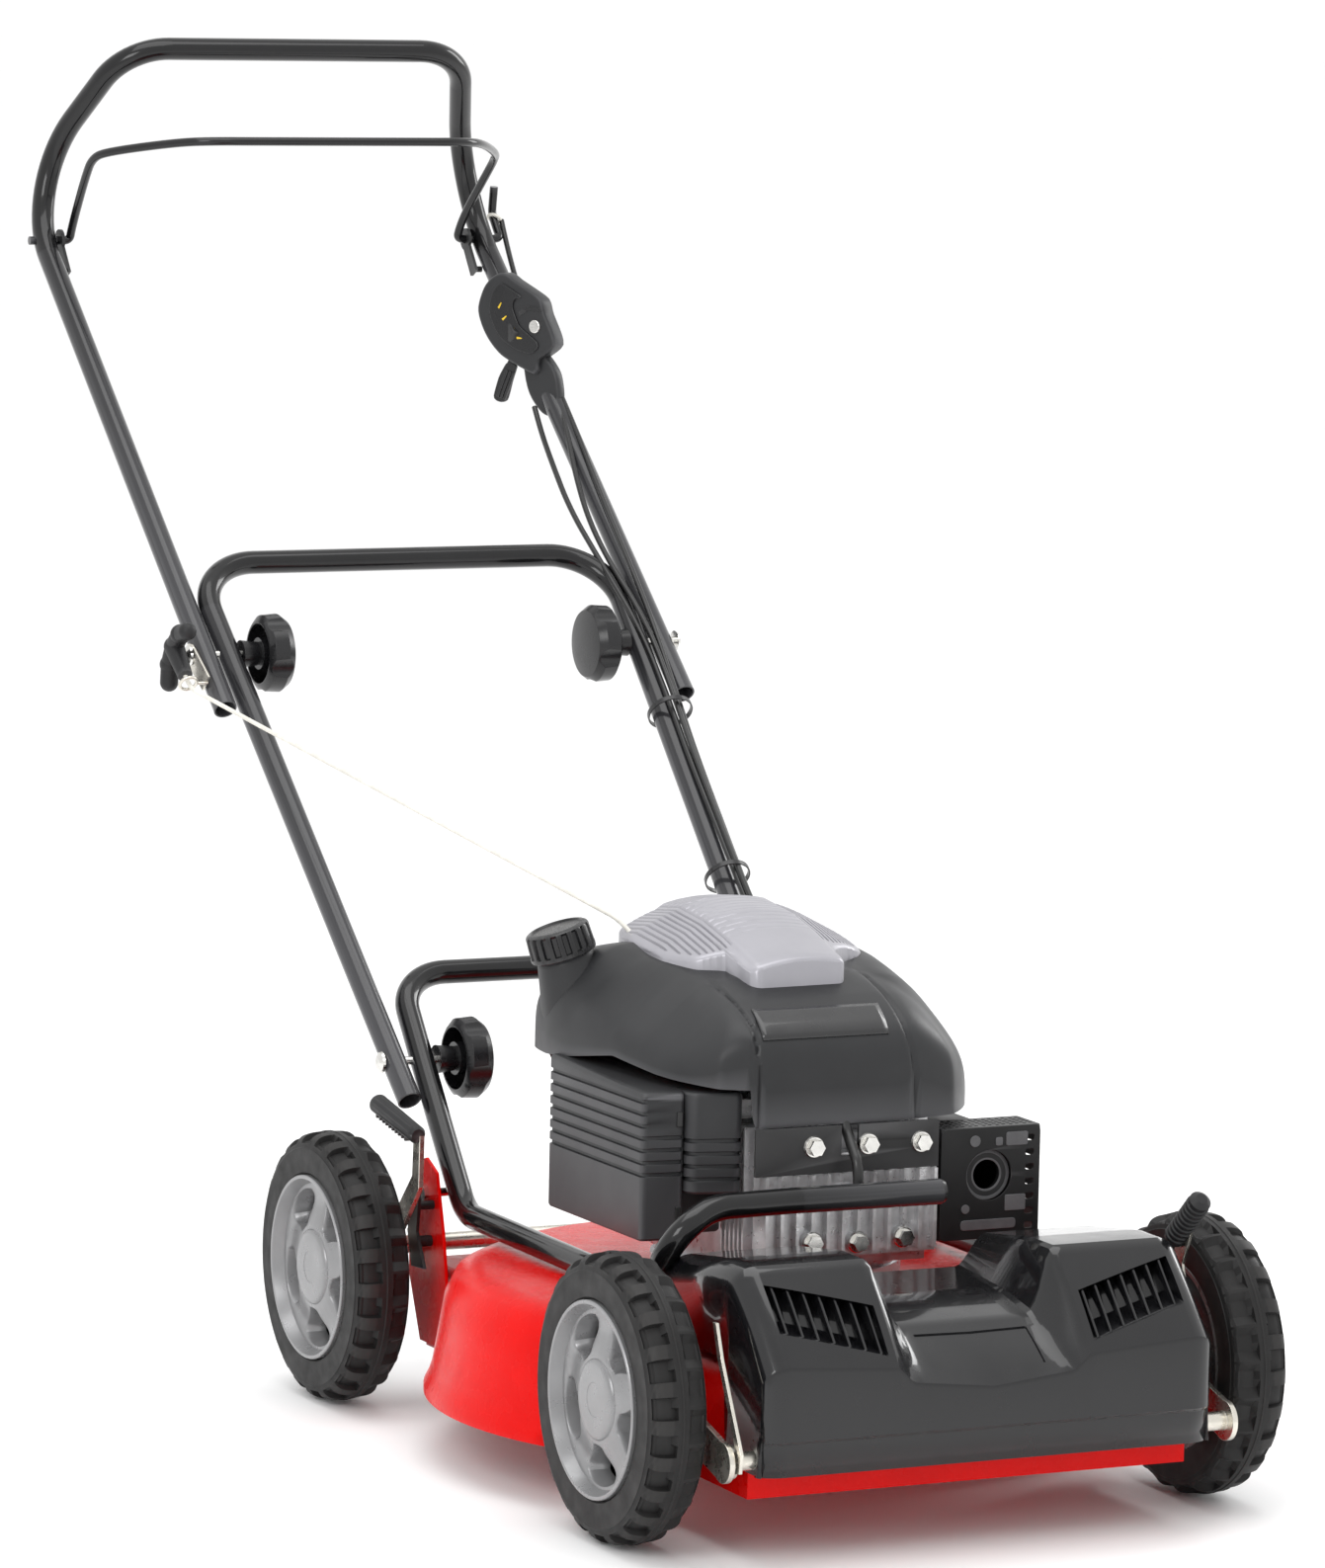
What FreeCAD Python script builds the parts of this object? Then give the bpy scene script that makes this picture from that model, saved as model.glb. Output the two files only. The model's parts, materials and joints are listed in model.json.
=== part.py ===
import FreeCAD, Part
import math
import os

V = FreeCAD.Vector
X = V(1, 0, 0)
Y = V(0, 1, 0)
Z = V(0, 0, 1)

# ---------------------------------------------------------------- driving dimensions (mm)
# Parts are drawn with y = 0 on the front axle and z = 0 on the ground. Export moves
# them by -Y_SHIFT so that the middle of the whole mower is at y = 0.
Y_SHIFT = 666.5

WHEEL_R = 120.0          # over the tread
WHEELBASE = 597.0
WHEEL_X = 268.0          # centre plane of each tyre
TYRE_W = 52.0
RIM_R = 81.8
LUGS = 24
STUB_R = 8.0             # stub axle in the wheel bore
RUN_FIT = 0.05           # radial clearance of every turning fit

TUBE_R = 11.0            # all handle and frame tube
TUBE_WALL = 1.5
LOWER_Y, LOWER_Z = 642.0, 292.0      # axis of the two lower handle joints
UPPER_Y, UPPER_Z = 1005.0, 621.0     # axis of the two upper handle joints
FRAME_LOW = (182.0, 506.0, 177.0)    # where each frame leg meets the deck run
FRAME_TOP = (158.0, 720.0, 358.0)    # corner of the frame's crossbar
FRAME_X = 167.0                      # leg centres at the lower joint
MIDDLE_LOW_X = 194.5
MIDDLE_UP_X = 211.0
UPPER_X = 235.5
GRIP_BEND = (235.5, 1499.0, 1033.0)  # where the upper legs turn forward
GRIP_TOP = (178.0, 1370.0, 1174.0)   # corners of the hand bar

DECK_Y = 260.0           # crankshaft axis
DECK_TOP = 163.0
DECK_RIM_R = 301.0
DECK_RIM_Z = 52.0
DECK_T = 2.0
BLADE_R = 255.0
BLADE_Z = 66.0

CRANK_R = 12.5
CYL_X = -4.0
CYL_Z = 256.0
BORE_R = 32.0

FRONT_SHAFT = (-118.0, 88.0)     # y, z of the front height shaft
REAR_SHAFT = (562.0, 142.0)
FLAP_PIN = (561.0, 117.0)
BAIL_Y, BAIL_Z = 1440.0, 984.0       # pivot of the control bail
HOOK_X = 256.0

os.makedirs("parts", exist_ok=True)


# ---------------------------------------------------------------- helpers
def box(x0, y0, z0, x1, y1, z1):
    return Part.makeBox(x1 - x0, y1 - y0, z1 - z0, V(x0, y0, z0))


def rod(start, end, r):
    a = V(*start)
    b = V(*end)
    return Part.makeCylinder(r, (b - a).Length, a, b - a)


def mirrored(shape):
    return shape.mirror(V(0, 0, 0), X)


def both(shape):
    return Part.makeCompound([shape, mirrored(shape)])


def fused(shapes):
    out = shapes[0].fuse(shapes[1:])
    return out.removeSplitter()


def face(points):
    return Part.Face(Part.makePolygon([V(*p) for p in points + points[:1]]))


def plate_yz(points, x0, x1):
    return face([(x0, y, z) for y, z in points]).extrude(V(x1 - x0, 0, 0))


def plate_xy(points, z0, z1):
    return face([(x, y, z0) for x, y in points]).extrude(V(0, 0, z1 - z0))


def plate_xz(points, y0, y1):
    return face([(x, y0, z) for x, z in points]).extrude(V(0, y1 - y0, 0))


def lathe(points, origin, axis, radial):
    """Turn (along, radius) points about the axis through origin."""
    o = V(*origin)
    pts = [o + axis * a + radial * r for a, r in points]
    wire = Part.makePolygon(pts + pts[:1])
    return Part.Face(wire).revolve(o, axis, 360)


def rounded_path(points, radii):
    """Straight runs joined by tangent arcs, one radius for each inner point."""
    pts = [V(*p) for p in points]
    edges = []
    start = pts[0]
    for i in range(1, len(pts) - 1):
        a = (pts[i - 1] - pts[i]).normalize()
        b = (pts[i + 1] - pts[i]).normalize()
        half = a.getAngle(b) / 2
        cut = radii[i - 1] / math.tan(half)
        p = pts[i] + a * cut
        q = pts[i] + b * cut
        mid_dir = (a + b).normalize()
        centre = pts[i] + mid_dir * (radii[i - 1] / math.sin(half))
        mid = centre - mid_dir * radii[i - 1]
        if (p - start).Length > 1e-6:
            edges.append(Part.LineSegment(start, p).toShape())
        edges.append(Part.Arc(p, mid, q).toShape())
        start = q
    edges.append(Part.LineSegment(start, pts[-1]).toShape())
    return Part.Wire(edges)


def swept(path, r):
    edge = path.Edges[0]
    start = edge.valueAt(edge.FirstParameter)
    ring = Part.Wire([Part.makeCircle(r, start, edge.tangentAt(edge.FirstParameter))])
    return path.makePipeShell([ring], True, False)


def cord(points, radii, r):
    return swept(rounded_path(points, radii), r)


def tube(points, radii, r=TUBE_R):
    """A bent tube, open at both ends."""
    path = rounded_path(points, radii)
    return swept(path, r).cut(swept(path, r - TUBE_WALL))


def rounded(shape, r, pick):
    edges = [e for e in shape.Edges if pick(e)]
    return shape.makeFillet(r, edges)


def along_x(e):
    d = e.Vertexes[-1].Point - e.Vertexes[0].Point
    return abs(d.x) > 1 and abs(d.y) < 1e-6 and abs(d.z) < 1e-6


def along_y(e):
    d = e.Vertexes[-1].Point - e.Vertexes[0].Point
    return abs(d.y) > 1 and abs(d.x) < 1e-6 and abs(d.z) < 1e-6


def along_z(e):
    d = e.Vertexes[-1].Point - e.Vertexes[0].Point
    return abs(d.z) > 1 and abs(d.x) < 1e-6 and abs(d.y) < 1e-6


def toward(start, end, distance):
    """The point that lies distance from start on the way to end."""
    a = V(*start)
    d = (V(*end) - a).normalize()
    p = a + d * distance
    return p.x, p.y, p.z


def flip(point):
    return -point[0], point[1], point[2]


MIDDLE_LOW = (MIDDLE_LOW_X, LOWER_Y, LOWER_Z)
MIDDLE_UP = (MIDDLE_UP_X, UPPER_Y, UPPER_Z)
UPPER_JOINT = (UPPER_X, UPPER_Y, UPPER_Z)


def beside(start, end, distance, x, out):
    """A point at x, distance along a leg and out in front of its centre line."""
    base = toward(start, end, distance)
    d = V(*end) - V(*start)
    d.x = 0
    d.normalize()
    return x, base[1] - d.z * out, base[2] + d.y * out


def hexagon(centre, axis, across, height):
    c = V(*centre)
    side = X if abs(axis.x) < 0.9 else Y
    u = (side - axis * side.dot(axis)).normalize()
    w = axis.cross(u)
    r = across / math.sqrt(3)
    pts = [c + u * (r * math.cos(math.radians(60 * i)))
           + w * (r * math.sin(math.radians(60 * i))) for i in range(7)]
    return Part.Face(Part.makePolygon(pts)).extrude(axis * height)


# ---------------------------------------------------------------- wheels
def tyre():
    half = TYRE_W / 2
    profile = [(-half + 2, RIM_R + 0.2), (-half, 90), (-half, 107), (-half + 5, 115.5),
               (-18, 118.6), (-1.4, 119.2), (-0.7, WHEEL_R), (0.7, WHEEL_R), (1.4, 119.2),
               (18, 118.6), (half - 5, 115.5), (half, 107), (half, 90), (half - 2, RIM_R + 0.2)]
    body = lathe(profile, (0, 0, 0), X, Z)
    pockets = []
    for side in (1, -1):
        for i in range(LUGS):
            wide = box(8, -9, 115, 20, 9, 125)
            step = box(4.5, -9, 115, 9, 1, 125)
            cut = wide.fuse(step)
            if side < 0:
                cut = mirrored(cut)
            cut.rotate(V(0, 0, 0), X, 360.0 * (i + 0.25 * (1 - side)) / LUGS)
            pockets.append(cut)
    return body.cut(Part.makeCompound(pockets))


def rim():
    """Drawn with +x outward. Five spokes, one of them straight down."""
    profile = [(-24, 77), (-24, RIM_R), (28.3, RIM_R), (28.3, 79), (25, 76.5), (14, 71),
               (17, 50), (20, 36), (22.5, 34), (23.5, 28), (23.5, 0), (16, 0), (16, STUB_R + RUN_FIT),
               (-20, STUB_R + RUN_FIT), (-20, 22), (6, 30), (3, 50), (1, 71), (-6, 74)]
    body = lathe(profile, (0, 0, 0), X, Z)
    windows = []
    for i in range(5):
        outline = []
        for r, a in ((68, -23), (71.5, 0), (68, 23), (52, 24), (40, 14), (38, 0), (40, -14), (52, -24)):
            t = math.radians(90 + a)
            outline.append((0, r * math.cos(t), r * math.sin(t)))
        cut = face([(-40, y, z) for _, y, z in outline]).extrude(V(80, 0, 0))
        cut.rotate(V(0, 0, 0), X, 72.0 * i)
        windows.append(cut)
    return body.cut(Part.makeCompound(windows))


def wheel_at(shape, side, y):
    s = shape.copy()
    if side < 0:
        s = mirrored(s)
    s.translate(V(side * WHEEL_X, y, WHEEL_R))
    return s


# ---------------------------------------------------------------- deck
def deck_skin(offset):
    """The turned housing, its outside drawn in by offset."""
    top = DECK_TOP - offset
    profile = [(DECK_RIM_Z, 0), (DECK_RIM_Z, DECK_RIM_R - offset), (58, DECK_RIM_R - offset),
               (66, 297 - offset), (76, 294 - offset), (136, 284 - offset), (154, 275 - offset),
               (top - 3, 262 - offset), (top, 250 - offset), (top, 0)]
    return lathe(profile, (0, DECK_Y, 0), Z, X)


def deck():
    front = plate_xy([(-202, -102), (202, -102), (202, 60), (-202, 60)], DECK_RIM_Z, DECK_TOP - 12)
    front = rounded(front, 18, lambda e: along_x(e) and e.BoundBox.ZMin > 100 and e.BoundBox.YMin < 0)
    inner_front = box(-202 + DECK_T, -102 + DECK_T, 0, 202 - DECK_T, 60, DECK_TOP - 12 - DECK_T)
    inner_front = rounded(inner_front, 16,
                          lambda e: along_x(e) and e.BoundBox.ZMin > 100 and e.BoundBox.YMin < 0)
    rear = box(-198, 400, DECK_RIM_Z, 198, 552, 131)
    inner_rear = box(-198 + DECK_T, 400, 0, 198 - DECK_T, 600, 131 - DECK_T)
    shell = fused([deck_skin(0), front, rear])
    below = lathe([(0, 0), (0, 400), (DECK_RIM_Z, 400), (DECK_RIM_Z, 0)], (0, DECK_Y, 0), Z, X)
    inside = deck_skin(DECK_T)
    shell = shell.cut(inside).cut(inner_front).cut(inner_rear).cut(below)
    wells = [box(s * 290 - 55, -130, 0, s * 290 + 55, 134, 200) for s in (1, -1)]
    shell = shell.cut(Part.makeCompound(wells))
    ring = lathe([(DECK_TOP, 60), (DECK_TOP, 100), (DECK_TOP + 3, 96), (DECK_TOP + 3, 60)],
                 (0, DECK_Y, 0), Z, X)
    hole = rod((0, DECK_Y, 0), (0, DECK_Y, 400), 60)
    return fused([shell, ring]).cut(hole)


def rear_brackets():
    outline = [(498, 57), (552, 57), (578, 112), (580, 186), (568, 214), (545, 222), (522, 212),
               (506, 160), (498, 120)]
    plate = plate_yz(outline, -204.5, -201.5)
    hole = rod((-210, REAR_SHAFT[0], REAR_SHAFT[1]), (-190, REAR_SHAFT[0], REAR_SHAFT[1]), 8.1)
    plate = plate.cut(hole)
    foot = box(-204.5, 500, 57, -198, 550, 60)
    bolt_a = rod((-206, 545, 190), (-178.5, 545, 190), 4)
    head = rod((-209, 545, 190), (-204.5, 545, 190), 9)
    stay = fused([plate, foot]).cut(bolt_a)
    return both(stay), both(fused([bolt_a, head]))


# ---------------------------------------------------------------- front cowl
def cowl_half_section(x):
    """Side outline of the cowl at a given |x|, as (y, z) points from the bottom front."""
    t = min(max((x - 62.0) / 22.0, 0.0), 1.0)
    t = t * t * (3 - 2 * t)
    u = min(max((x - 188.0) / 18.0, 0.0), 1.0)
    top = 196 + 36 * t - 18 * u
    crease_z = 150 + 6 * t + 10 * u * t
    crease_y = -143 + 16 * u
    slope_y = -100 + 22 * t
    return [(-142, 76), (-144, 108), (crease_y, crease_z), (slope_y, top - 14 + 6 * t),
            (slope_y + 16, top), (-12, top - 6), (44, top - 14 - 6 * t), (44, 170), (44, 76)]


def cowl_body(inset):
    stations = [-206, -198, -188, -140, -84, -74, -62, 0, 62, 74, 84, 140, 188, 198, 206]
    wires = []
    for x in stations:
        pts = cowl_half_section(abs(x))
        if inset:
            pts = [(y + inset * (1 if y < 0 else 0), z - inset * (1 if z > 100 else 0)) for y, z in pts]
            x = x * (206 - inset) / 206
        wires.append(Part.makePolygon([V(x, y, z) for y, z in pts + pts[:1]]))
    return Part.makeLoft(wires, True, True)


def front_cowl():
    outer = cowl_body(0)
    inner = cowl_body(3)
    shell = outer.cut(inner)
    keep_out = box(-203, -101, 0, 203, 60, 168)
    shell = shell.cut(keep_out).cut(box(-300, 40.5, 0, 300, 60, 300)).cut(box(-300, -60, 0, 300, 60, 160))
    shaft = rod((-230, FRONT_SHAFT[0], FRONT_SHAFT[1]), (230, FRONT_SHAFT[0], FRONT_SHAFT[1]), 10)
    shell = shell.cut(shaft)
    slots = []
    for i in range(6):
        x = 108 + 13.0 * i
        slot = plate_yz([(-142, 163), (-92, 214), (-70, 214), (-70, 190), (-120, 150), (-142, 150)],
                        x, x + 10.5)
        slots.append(slot)
        slots.append(mirrored(slot))
    slotted = shell.cut(Part.makeCompound(slots))
    relief = box(-170, 20, 186, 120, 60, 260)
    return slotted.cut(relief)


# ---------------------------------------------------------------- tube frames
FRONT_END = (52, 60, 260.5)


def lower_frame():
    """One bent tube: the rear U, both deck runs and the lifting handle at the front."""
    low = FRAME_LOW
    joint = (FRAME_X, LOWER_Y, LOWER_Z)
    run_z = low[2]
    points = [(low[0], 150, run_z), low, joint, FRAME_TOP, flip(FRAME_TOP), flip(joint), flip(low),
              (-low[0], 110, run_z), (-216, 34, 236), (-165, 50, 262), (-88, 60, 261), FRONT_END]
    bends = [55, 300, 50, 50, 300, 55, 45, 30, 70, 150]
    hole = rod((-240, LOWER_Y, LOWER_Z), (240, LOWER_Y, LOWER_Z), 4)
    return tube(points, bends).cut(hole)


def frame_end_cap():
    inner = toward(FRONT_END, (-88, 60, 261), 16)
    plug = rod(inner, FRONT_END, TUBE_R - TUBE_WALL)
    axis = (V(*FRONT_END) - V(*inner)).normalize()
    dome = lathe([(0, 0), (0, TUBE_R), (3, TUBE_R - 1), (5, TUBE_R - 4), (5.5, 0)], FRONT_END, axis, Y)
    return fused([plug, dome])


def middle_handle():
    low = toward(MIDDLE_LOW, MIDDLE_UP, -45)
    top = toward(MIDDLE_LOW, MIDDLE_UP, 605)
    hole_low = rod((-240, LOWER_Y, LOWER_Z), (240, LOWER_Y, LOWER_Z), 4 + RUN_FIT)
    hole_up = rod((-240, UPPER_Y, UPPER_Z), (240, UPPER_Y, UPPER_Z), 4)
    return tube([low, top, flip(top), flip(low)], [60, 60]).cut(hole_low).cut(hole_up)


def upper_handle():
    low = toward(UPPER_JOINT, GRIP_BEND, -70)
    points = [low, GRIP_BEND, GRIP_TOP, flip(GRIP_TOP), flip(GRIP_BEND), flip(low)]
    hole = rod((-260, UPPER_Y, UPPER_Z), (260, UPPER_Y, UPPER_Z), 4 + RUN_FIT)
    pivot = rod((-260, BAIL_Y, BAIL_Z), (260, BAIL_Y, BAIL_Z), 4.2 + RUN_FIT)
    return tube(points, [95, 60, 60, 95]).cut(hole).cut(pivot)


def joint_bolts(x_head, y, z, x_tip):
    bolt = rod((-x_head, y, z), (-x_tip, y, z), 4)
    head = lathe([(0, 0), (0, 10), (2, 9), (4.5, 5), (5, 0)], (-x_head, y, z), V(-1, 0, 0), Z)
    return both(fused([bolt, head]))


def knob(side, x_stem, y, z):
    """A hollow five-lobed hand knob. Its stem starts at x_stem and points outboard."""
    inward = V(-side, 0, 0)
    centre = (side * x_stem, y, z)
    stem = lathe([(0, 0), (0, 13), (18, 11), (18, 0)], centre, inward, Z)
    cup = lathe([(18, 0), (18, 30), (22, 36), (36, 37), (43, 32), (45, 20), (45, 0)], centre, inward, Z)
    room = lathe([(17, 15), (17, 28), (38, 30), (38, 15)], centre, inward, Z)
    bore = lathe([(-1, 0), (-1, 4 + RUN_FIT), (30, 4 + RUN_FIT), (30, 0)], centre, inward, Z)
    bites = []
    for i in range(5):
        t = math.radians(72 * i + 54)
        cy = y + 52 * math.cos(t)
        cz = z + 52 * math.sin(t)
        bites.append(rod((side * x_stem, cy, cz), (side * (x_stem - 50), cy, cz), 19))
    return fused([stem, cup]).cut(room).cut(bore).cut(Part.makeCompound(bites))


# ---------------------------------------------------------------- engine
def crankcase():
    foot = rod((0, DECK_Y, DECK_TOP + 3), (0, DECK_Y, DECK_TOP + 13), 108)
    case = box(-84, 176, DECK_TOP + 13, 80, 356, 304)
    case = rounded(case, 24, along_z)
    barrel = box(-82, 122, 196, 66, 178, 310)
    fins = [box(-98, 126 + 8 * i, 190, 74, 129 + 8 * i, 312) for i in range(6)]
    spigot = rod((0, DECK_Y, DECK_TOP + 3), (0, DECK_Y, 150), 30)
    outer = fused([foot, case, barrel, spigot] + fins)
    chamber = rod((0, DECK_Y, 196), (0, DECK_Y, 296), 74)
    bore = rod((CYL_X, 100, CYL_Z), (CYL_X, DECK_Y, CYL_Z), BORE_R + RUN_FIT)
    shaft = rod((0, DECK_Y, 100), (0, DECK_Y, 400), CRANK_R + RUN_FIT)
    intake = rod((-60, 150, 262), (-120, 150, 262), 9)
    return outer.cut(Part.makeCompound([chamber])).cut(bore).cut(shaft).cut(intake)


HEAD_BOLTS = [(-47, 216), (-4, 214), (39, 216), (-46, 297), (5, 297), (55, 296)]


def cylinder_head():
    plate = box(-92, 104, 202, 72, 120, 306)
    fins = [box(-92 + 14.4 * i, 96, 206, -89 + 14.4 * i, 105, 273.5) for i in range(12)]
    pads = [rod((x, 98, z), (x, 105, z), 9.5) for x, z in HEAD_BOLTS[:3]]
    body = fused([plate] + fins + pads)
    holes = [rod((x, 90, z), (x, 130, z), 4) for x, z in HEAD_BOLTS]
    seats = [rod((x, 90, z), (x, 98, z), 11) for x, z in HEAD_BOLTS[:3]]
    plug = rod((-14, 90, 256), (-14, 130, 256), 6)
    well = rod((-14, 90, 256), (-14, 104, 256), 12)
    lead_way = box(-20, 100, 290, -4, 125, 320)
    return body.cut(Part.makeCompound(holes + seats)).cut(plug).cut(well).cut(lead_way)


def heat_shield():
    """The black baffle plate across the top of the head."""
    panel = box(-100, 100.5, 274, 72, 104, 314)
    holes = [rod((x, 90, z), (x, 130, z), 4) for x, z in HEAD_BOLTS[3:]]
    notch = box(-20, 95, 288, -4, 110, 315)
    return panel.cut(Part.makeCompound(holes + [notch]))


def head_bolts():
    out = []
    for i, (x, z) in enumerate(HEAD_BOLTS):
        seat = 98 if i < 3 else 100.5
        shank = rod((x, seat, z), (x, 120, z), 4)
        flange = lathe([(0, 0), (0, 9.5), (2, 8.5), (2, 0)], (x, seat, z), V(0, -1, 0), Z)
        head = hexagon((x, seat - 2, z), V(0, -1, 0), 12.5, 6)
        out.append(fused([shank, flange, head]))
    return Part.makeCompound(out)


def spark_plug():
    thread = rod((-14, 99, 256), (-14, 121.9, 256), 6)
    nut = hexagon((-14, 104, 256), V(0, -1, 0), 16, 5)
    body = rod((-14, 86, 256), (-14, 100, 256), 5)
    return fused([thread, body, nut])


def ignition_lead():
    points = [(-14, 86, 256), (-14, 79, 256), (-14, 82, 284), (-12, 106, 306), (-12, 124, 330)]
    return cord(points, [5, 16, 30], 4.6)


ROPE_END = V(-104, 338, 452)
ROPE_IN = (-74, 316, 392)


def shroud_solid(inset):
    """Outline of the engine housing: side profile drawn across, then trimmed to plan."""
    d = inset
    side = [(110 + d, 314), (110 + d, 386 - d), (126 + d * 0.7, 402 - d), (160, 416 - d), (200, 428 - d),
            (260, 439 - d), (330, 443 - d), (368, 434 - d), (402 - d, 404 - d), (412 - d, 350),
            (412 - d, 314)]
    body = plate_yz(side, -178 + d, 140 - d)
    plan = [(-99 + d, 100), (54, 100), (92 - d, 118), (126 - d, 170), (138 - d, 240), (138 - d, 320),
            (112 - d, 384), (70 - d, 420), (-90 + d, 420), (-150 + d, 372), (-172 + d, 320), (-166 + d, 240),
            (-140 + d, 170)]
    trim = plate_xy(plan, 300, 460)
    cross = [(-176 + d, 314), (-172 + d, 352), (-150 + d, 398 - d), (-104 + d, 428 - d), (-70, 446 - d),
             (30, 446 - d), (62 - d, 430 - d), (104 - d, 394 - d), (130 - d, 350), (139 - d, 314)]
    arch = plate_xz(cross, 90, 440)
    return body.common(trim).common(arch)


def engine_shroud():
    outer = shroud_solid(0)
    inner = shroud_solid(3)
    shell = outer.cut(inner)
    over_filter = box(-200, 100, 300, -99.5, 330, 346)
    for_tank = box(-200, 320, 300, -124, 440, 470)
    top = rod((-20, 300, 400), (-20, 300, 470), 60)
    rope_way = rod(tuple(ROPE_END), ROPE_IN, 6)
    grooves = []
    for gx in (-97, 50):
        grooves.append(box(gx, 105, 318, gx + 4, 112, 384))
    lead_way = box(-20, 100, 300, -4, 124, 327)
    shell = shell.cut(over_filter).cut(for_tank).cut(top).cut(rope_way).cut(lead_way)
    return shell.cut(Part.makeCompound(grooves))


def engine_cover():
    """The pale ribbed cap over the starter."""
    plan = [(-44, 196), (22, 196), (28, 222), (62, 232), (78, 290), (74, 350), (40, 392), (-20, 402),
            (-80, 392), (-112, 350), (-110, 290), (-92, 232), (-52, 222)]
    side = [(190, 426), (190, 440), (230, 454), (300, 472), (360, 476), (404, 460), (404, 441), (300, 441),
            (215, 427)]
    body = plate_xy(plan, 420, 480).common(plate_yz(side, -120, 90))
    cross = [(-114, 420), (-112, 440), (-84, 460), (-46, 475), (16, 475), (52, 462), (78, 444), (80, 420)]
    body = body.common(plate_xz(cross, 180, 410))
    body = body.cut(shroud_solid(0))
    slot = box(-114, 326, 425, -94, 350, 490)
    rope_way = rod(tuple(ROPE_END), ROPE_IN, 6)
    hub = rod((0, DECK_Y + 40, 400), (0, DECK_Y + 40, 452), 46)
    grooves = [box(-120, 240 + 9 * i, 468, 90, 244 + 9 * i, 480) for i in range(15)]
    return body.cut(slot).cut(hub).cut(rope_way).cut(Part.makeCompound(grooves))


CAP_BASE = V(-164, 349, 429)
CAP_AXIS = V(-20, 4, 62).normalize()


def fuel_tank():
    body = rounded(box(-184, 324, 330, -126, 400, 400), 12, along_z)
    foot = CAP_BASE - CAP_AXIS * 46
    neck = rod(tuple(foot), tuple(CAP_BASE - CAP_AXIS * 4), 21)
    bore = rod(tuple(foot), tuple(CAP_BASE + CAP_AXIS * 4), 16)
    lip = rod(tuple(CAP_BASE - CAP_AXIS * 12), tuple(CAP_BASE), 23.5)
    hollow = box(-180, 328, 334, -130, 396, 396)
    return fused([body, neck, lip]).cut(hollow).cut(bore)


def fuel_cap():
    axis = CAP_AXIS
    base = CAP_BASE + axis * 0.4
    skirt = Part.makeCylinder(29, 27, base - axis * 8, axis)
    top = Part.makeCone(29, 24, 4, base + axis * 19, axis)
    room = Part.makeCylinder(24.1, 20, base - axis * 8.4, axis)
    ribs = []
    side = X.cross(axis).normalize()
    other = axis.cross(side)
    for i in range(20):
        t = math.radians(18 * i)
        c = base - axis * 7 + side * (29 * math.cos(t)) + other * (29 * math.sin(t))
        ribs.append(Part.makeCylinder(2.2, 24, c, axis))
    return fused([skirt, top] + ribs).cut(room)


def air_filter_cover():
    first = [(-184, 140), (-148, 140), (-148, 152), (-101, 126), (-101, 196), (-110, 300), (-182, 317)]
    outer = plate_xy(first, 218, 342)
    top_cut = plate_yz([(100, 346), (330, 362), (330, 330), (140, 341)], -190, -90)
    bottom = plate_yz([(130, 230), (200, 217), (330, 217), (330, 200), (130, 200)], -190, -90)
    body = outer.cut(top_cut).cut(bottom)
    ribs = []
    for i in range(7):
        z = 236 + 14 * i
        ribs.append(plate_xy([(-186.5, 137.5), (-150, 137.5), (-150, 141), (-183, 141), (-181, 317),
                              (-184.5, 317)], z, z + 5))
    inside = [(-180, 145), (-152, 145), (-152, 160), (-120, 145), (-120, 290), (-178, 308)]
    hollow = plate_xy(inside, 226, 330)
    slots = [box(-157, 137, 315, -151, 150, 324), box(-157, 137, 232, -151, 150, 241)]
    return fused([body] + ribs).cut(hollow).cut(Part.makeCompound(slots))


def muffler():
    """Pressed steel box with a round outlet that faces forward."""
    body = rounded(box(82, 116, 214, 156, 232, 296), 10, along_y)
    outlet = rod((123.6, 110.5, 262), (123.6, 122, 262), 19)
    hole = rod((123.6, 108, 262), (123.6, 200, 262), 14)
    hollow = box(85, 119, 217, 153, 229, 293)
    plate = box(88, 113, 212, 150, 116, 298)
    return fused([body, plate, outlet]).cut(hollow).cut(hole)


def muffler_guard():
    front = box(78, 107, 208, 172, 109.5, 303)
    window = rod((123.6, 100, 262), (123.6, 120, 262), 22)
    side = box(169.5, 107, 208, 172, 262, 303)
    slots = [box(160, 124, 214 + 13.5 * i, 176, 246, 220 + 13.5 * i) for i in range(6)]
    roof = plate_yz([(107, 300.5), (107, 303), (262, 303), (262, 300.5)], 92, 172)
    foot = box(78, 107, 208, 80.5, 150, 303)
    holes = [rod((98 + 12 * i, 130 + 14 * j, 295), (98 + 12 * i, 130 + 14 * j, 310), 3)
             for i in range(6) for j in range(9)]
    body = fused([front, side, roof, foot])
    return body.cut(window).cut(Part.makeCompound(slots + holes))


def crankshaft():
    low = rod((0, DECK_Y, BLADE_Z + 8), (0, DECK_Y, 232), CRANK_R)
    web_a = rod((0, DECK_Y, 230), (0, DECK_Y, 240), 40)
    pin = rod((0, DECK_Y - 22, 240), (0, DECK_Y - 22, 272), 9)
    web_b = rod((0, DECK_Y, 272), (0, DECK_Y, 282), 40)
    high = rod((0, DECK_Y, 280), (0, DECK_Y, 352), CRANK_R)
    return fused([low, web_a, pin, web_b, high])


def flywheel():
    disc = rod((0, DECK_Y, 322), (0, DECK_Y, 340), 84)
    vanes = []
    for i in range(16):
        vane = box(50, DECK_Y - 1.5, 340, 82, DECK_Y + 1.5, 356)
        vane.rotate(V(0, DECK_Y, 0), Z, 22.5 * i)
        vanes.append(vane)
    bore = rod((0, DECK_Y, 300), (0, DECK_Y, 400), CRANK_R)
    return fused([disc] + vanes).cut(bore)


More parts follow.
